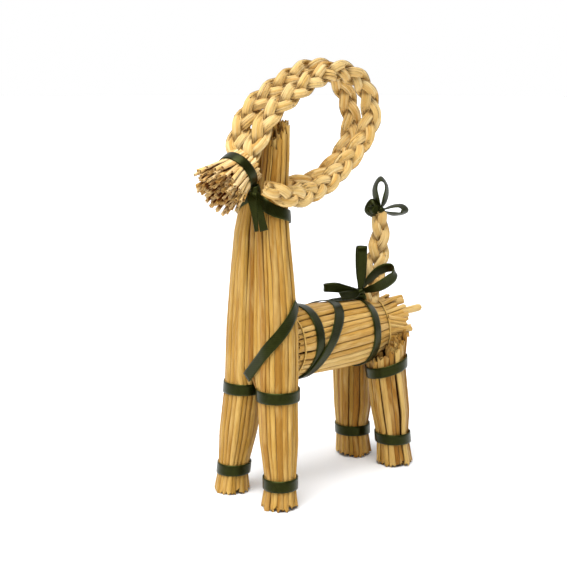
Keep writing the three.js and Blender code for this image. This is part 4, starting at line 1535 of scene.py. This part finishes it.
@dataclass(frozen=True)
class Studio:
    """A white sweep of paper, a soft light overhead, a strip light at the side, and the camera."""

    floor_half: float = 60.0
    paper: tuple[float, float, float, float] = (0.915, 0.93, 0.95, 1.0)
    overhead_energy: float = 4.2
    overhead_softness: float = 50.0
    strip_size: float = 0.5
    strip_energy: float = 3.0
    camera_distance: float = 640.0
    camera_aside: float = 20.3
    camera_height: float = 224.5
    camera_pitch: float = 9.6
    lens: float = 71.41
    sensor_width: float = 36.0

    def add_floor(self) -> None:
        """Lays the paper."""
        floor = bmesh.new()
        bmesh.ops.create_grid(floor, x_segments=1, y_segments=1, size=self.floor_half)
        data = bpy.data.meshes.new("floor")
        floor.to_mesh(data)
        floor.free()
        material, _, shader = new_material("paper_sweep_white")
        shader.inputs["Base Color"].default_value = self.paper
        shader.inputs["Roughness"].default_value = 0.9
        data.materials.append(material)
        plane = bpy.data.objects.new("floor", data)
        bpy.context.scene.collection.objects.link(plane)

    def add_world(self) -> None:
        """Lights the studio white behind the goat, and dim behind whoever looks at it."""
        world = bpy.data.worlds.new("studio")
        bpy.context.scene.world = world
        world.use_nodes = True
        tree = world.node_tree
        way = add_node(tree, "ShaderNodeTexCoord", {}, {})
        toward = add_node(tree, "ShaderNodeVectorMath", {"operation": "DOT_PRODUCT", 1: tuple(-FORE)},
                          {0: way.outputs["Generated"]})
        level = add_node(tree, "ShaderNodeMapRange", {
            "interpolation_type": "SMOOTHSTEP", "From Min": -0.3, "From Max": 0.7, "To Min": 0.12, "To Max": 1.0},
            {"Value": toward.outputs["Value"]})
        sky = tree.nodes["Background"]
        sky.inputs["Color"].default_value = (1, 1, 1, 1)
        tree.links.new(level.outputs["Result"], sky.inputs["Strength"])

    def add_lights(self) -> None:
        """Hangs the two lights."""
        sun = bpy.data.lights.new("overhead_softbox", "SUN")
        sun.energy = self.overhead_energy
        sun.angle = math.radians(self.overhead_softness)
        lamp = bpy.data.objects.new("overhead_softbox", sun)
        aim(lamp, ASIDE * 0.15 - FORE * 0.4 - Z)
        strip = bpy.data.lights.new("strip_light", "AREA")
        strip.size = self.strip_size
        strip.energy = self.strip_energy
        lamp = bpy.data.objects.new("strip_light", strip)
        lamp.location = FORE * 0.7 - ASIDE * 0.9 + Z * 0.8
        aim(lamp, Vector((0, 0, 0.12)) - lamp.location)

    def add_camera(self) -> None:
        """Places the camera, a little above the goat's head."""
        camera = bpy.data.objects.new("camera", bpy.data.cameras.new("camera"))
        place = FORE * self.camera_distance - ASIDE * self.camera_aside + Z * self.camera_height
        camera.location = (place + Measures().shift()) * MM
        pitch = math.radians(self.camera_pitch)
        aim(camera, -FORE * math.cos(pitch) - Z * math.sin(pitch))
        camera.data.lens = self.lens
        camera.data.sensor_width = self.sensor_width
        bpy.context.scene.camera = camera

    def build(self) -> None:
        """Builds the studio."""
        self.add_floor()
        self.add_world()
        self.add_lights()
        self.add_camera()
        bpy.context.scene.view_settings.view_transform = "Standard"


def aim(thing: bpy.types.Object, way: Vector) -> None:
    """Turns a light or the camera to look along a direction, and puts it in the scene."""
    thing.rotation_euler = way.to_track_quat("-Z", "Y").to_euler()
    bpy.context.scene.collection.objects.link(thing)


def main() -> None:
    """Builds the goat around the frame."""
    logging.basicConfig(level=logging.INFO)
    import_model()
    Studio().build()
    measures = Measures()
    rng = random.Random(24)
    standing = RyeStraw().material()
    # The lying stems are painted lighter than the standing ones: a lit and a shaded copy of one straw, for the overhead
    # light on the body's top.
    lying = RyeStraw(
        name="rye_straw_lying_painted_lit", tones=("#BE9244", "#CFA255", "#B98A3C", "#DCBA74", "#C89A4B", "#AA7630"),
        bleach="#E6C98C").material()
    # The plaits' flattened straw looks pale and smooth, and has its own colour of painted shade in the gaps.
    plaited = RyeStraw(
        name="rye_straw_plaited", tones=("#CDA55C", "#DDB974", "#CFA055", "#E5C88C", "#D6AE66"), streak="#8F5418",
        bleach="#EFD9A2", gap="#4A1E02", roughness=0.4, streaks=0.6, bump=0.5).material()
    # The muzzle's thin stems are the palest: a copy of the straw painted lighter for the light that falls on the
    # muzzle, with its own colour of painted shade in the gaps.
    thin = RyeStraw(
        name="rye_straw_muzzle_painted_lit", tones=("#DDB468", "#EAC884", "#CE9C4E", "#EED29A", "#E0B670"), streak="#8F5418",
        bleach="#F2DCAE", gap="#5E2C08", roughness=0.45, streaks=0.4).material()
    raffia = RyeStraw(name="raffia_thread", tones=("#C79A4A", "#CFA858"), bleach="#DDBC78").material()
    satin = SatinRibbon().material()
    FrontBundle(measures, rng).build(standing)
    BodyBundle(measures, rng).build(lying)
    for side in (1, -1):
        RearLeg(measures, side, rng).build(standing)
    Muzzle(measures, rng).build(thin)
    build_plaits(measures, rng, plaited)
    Threads(measures, rng).build(raffia)
    Ribbons(measures, rng, satin).build()


if __name__ == "__main__":
    main()
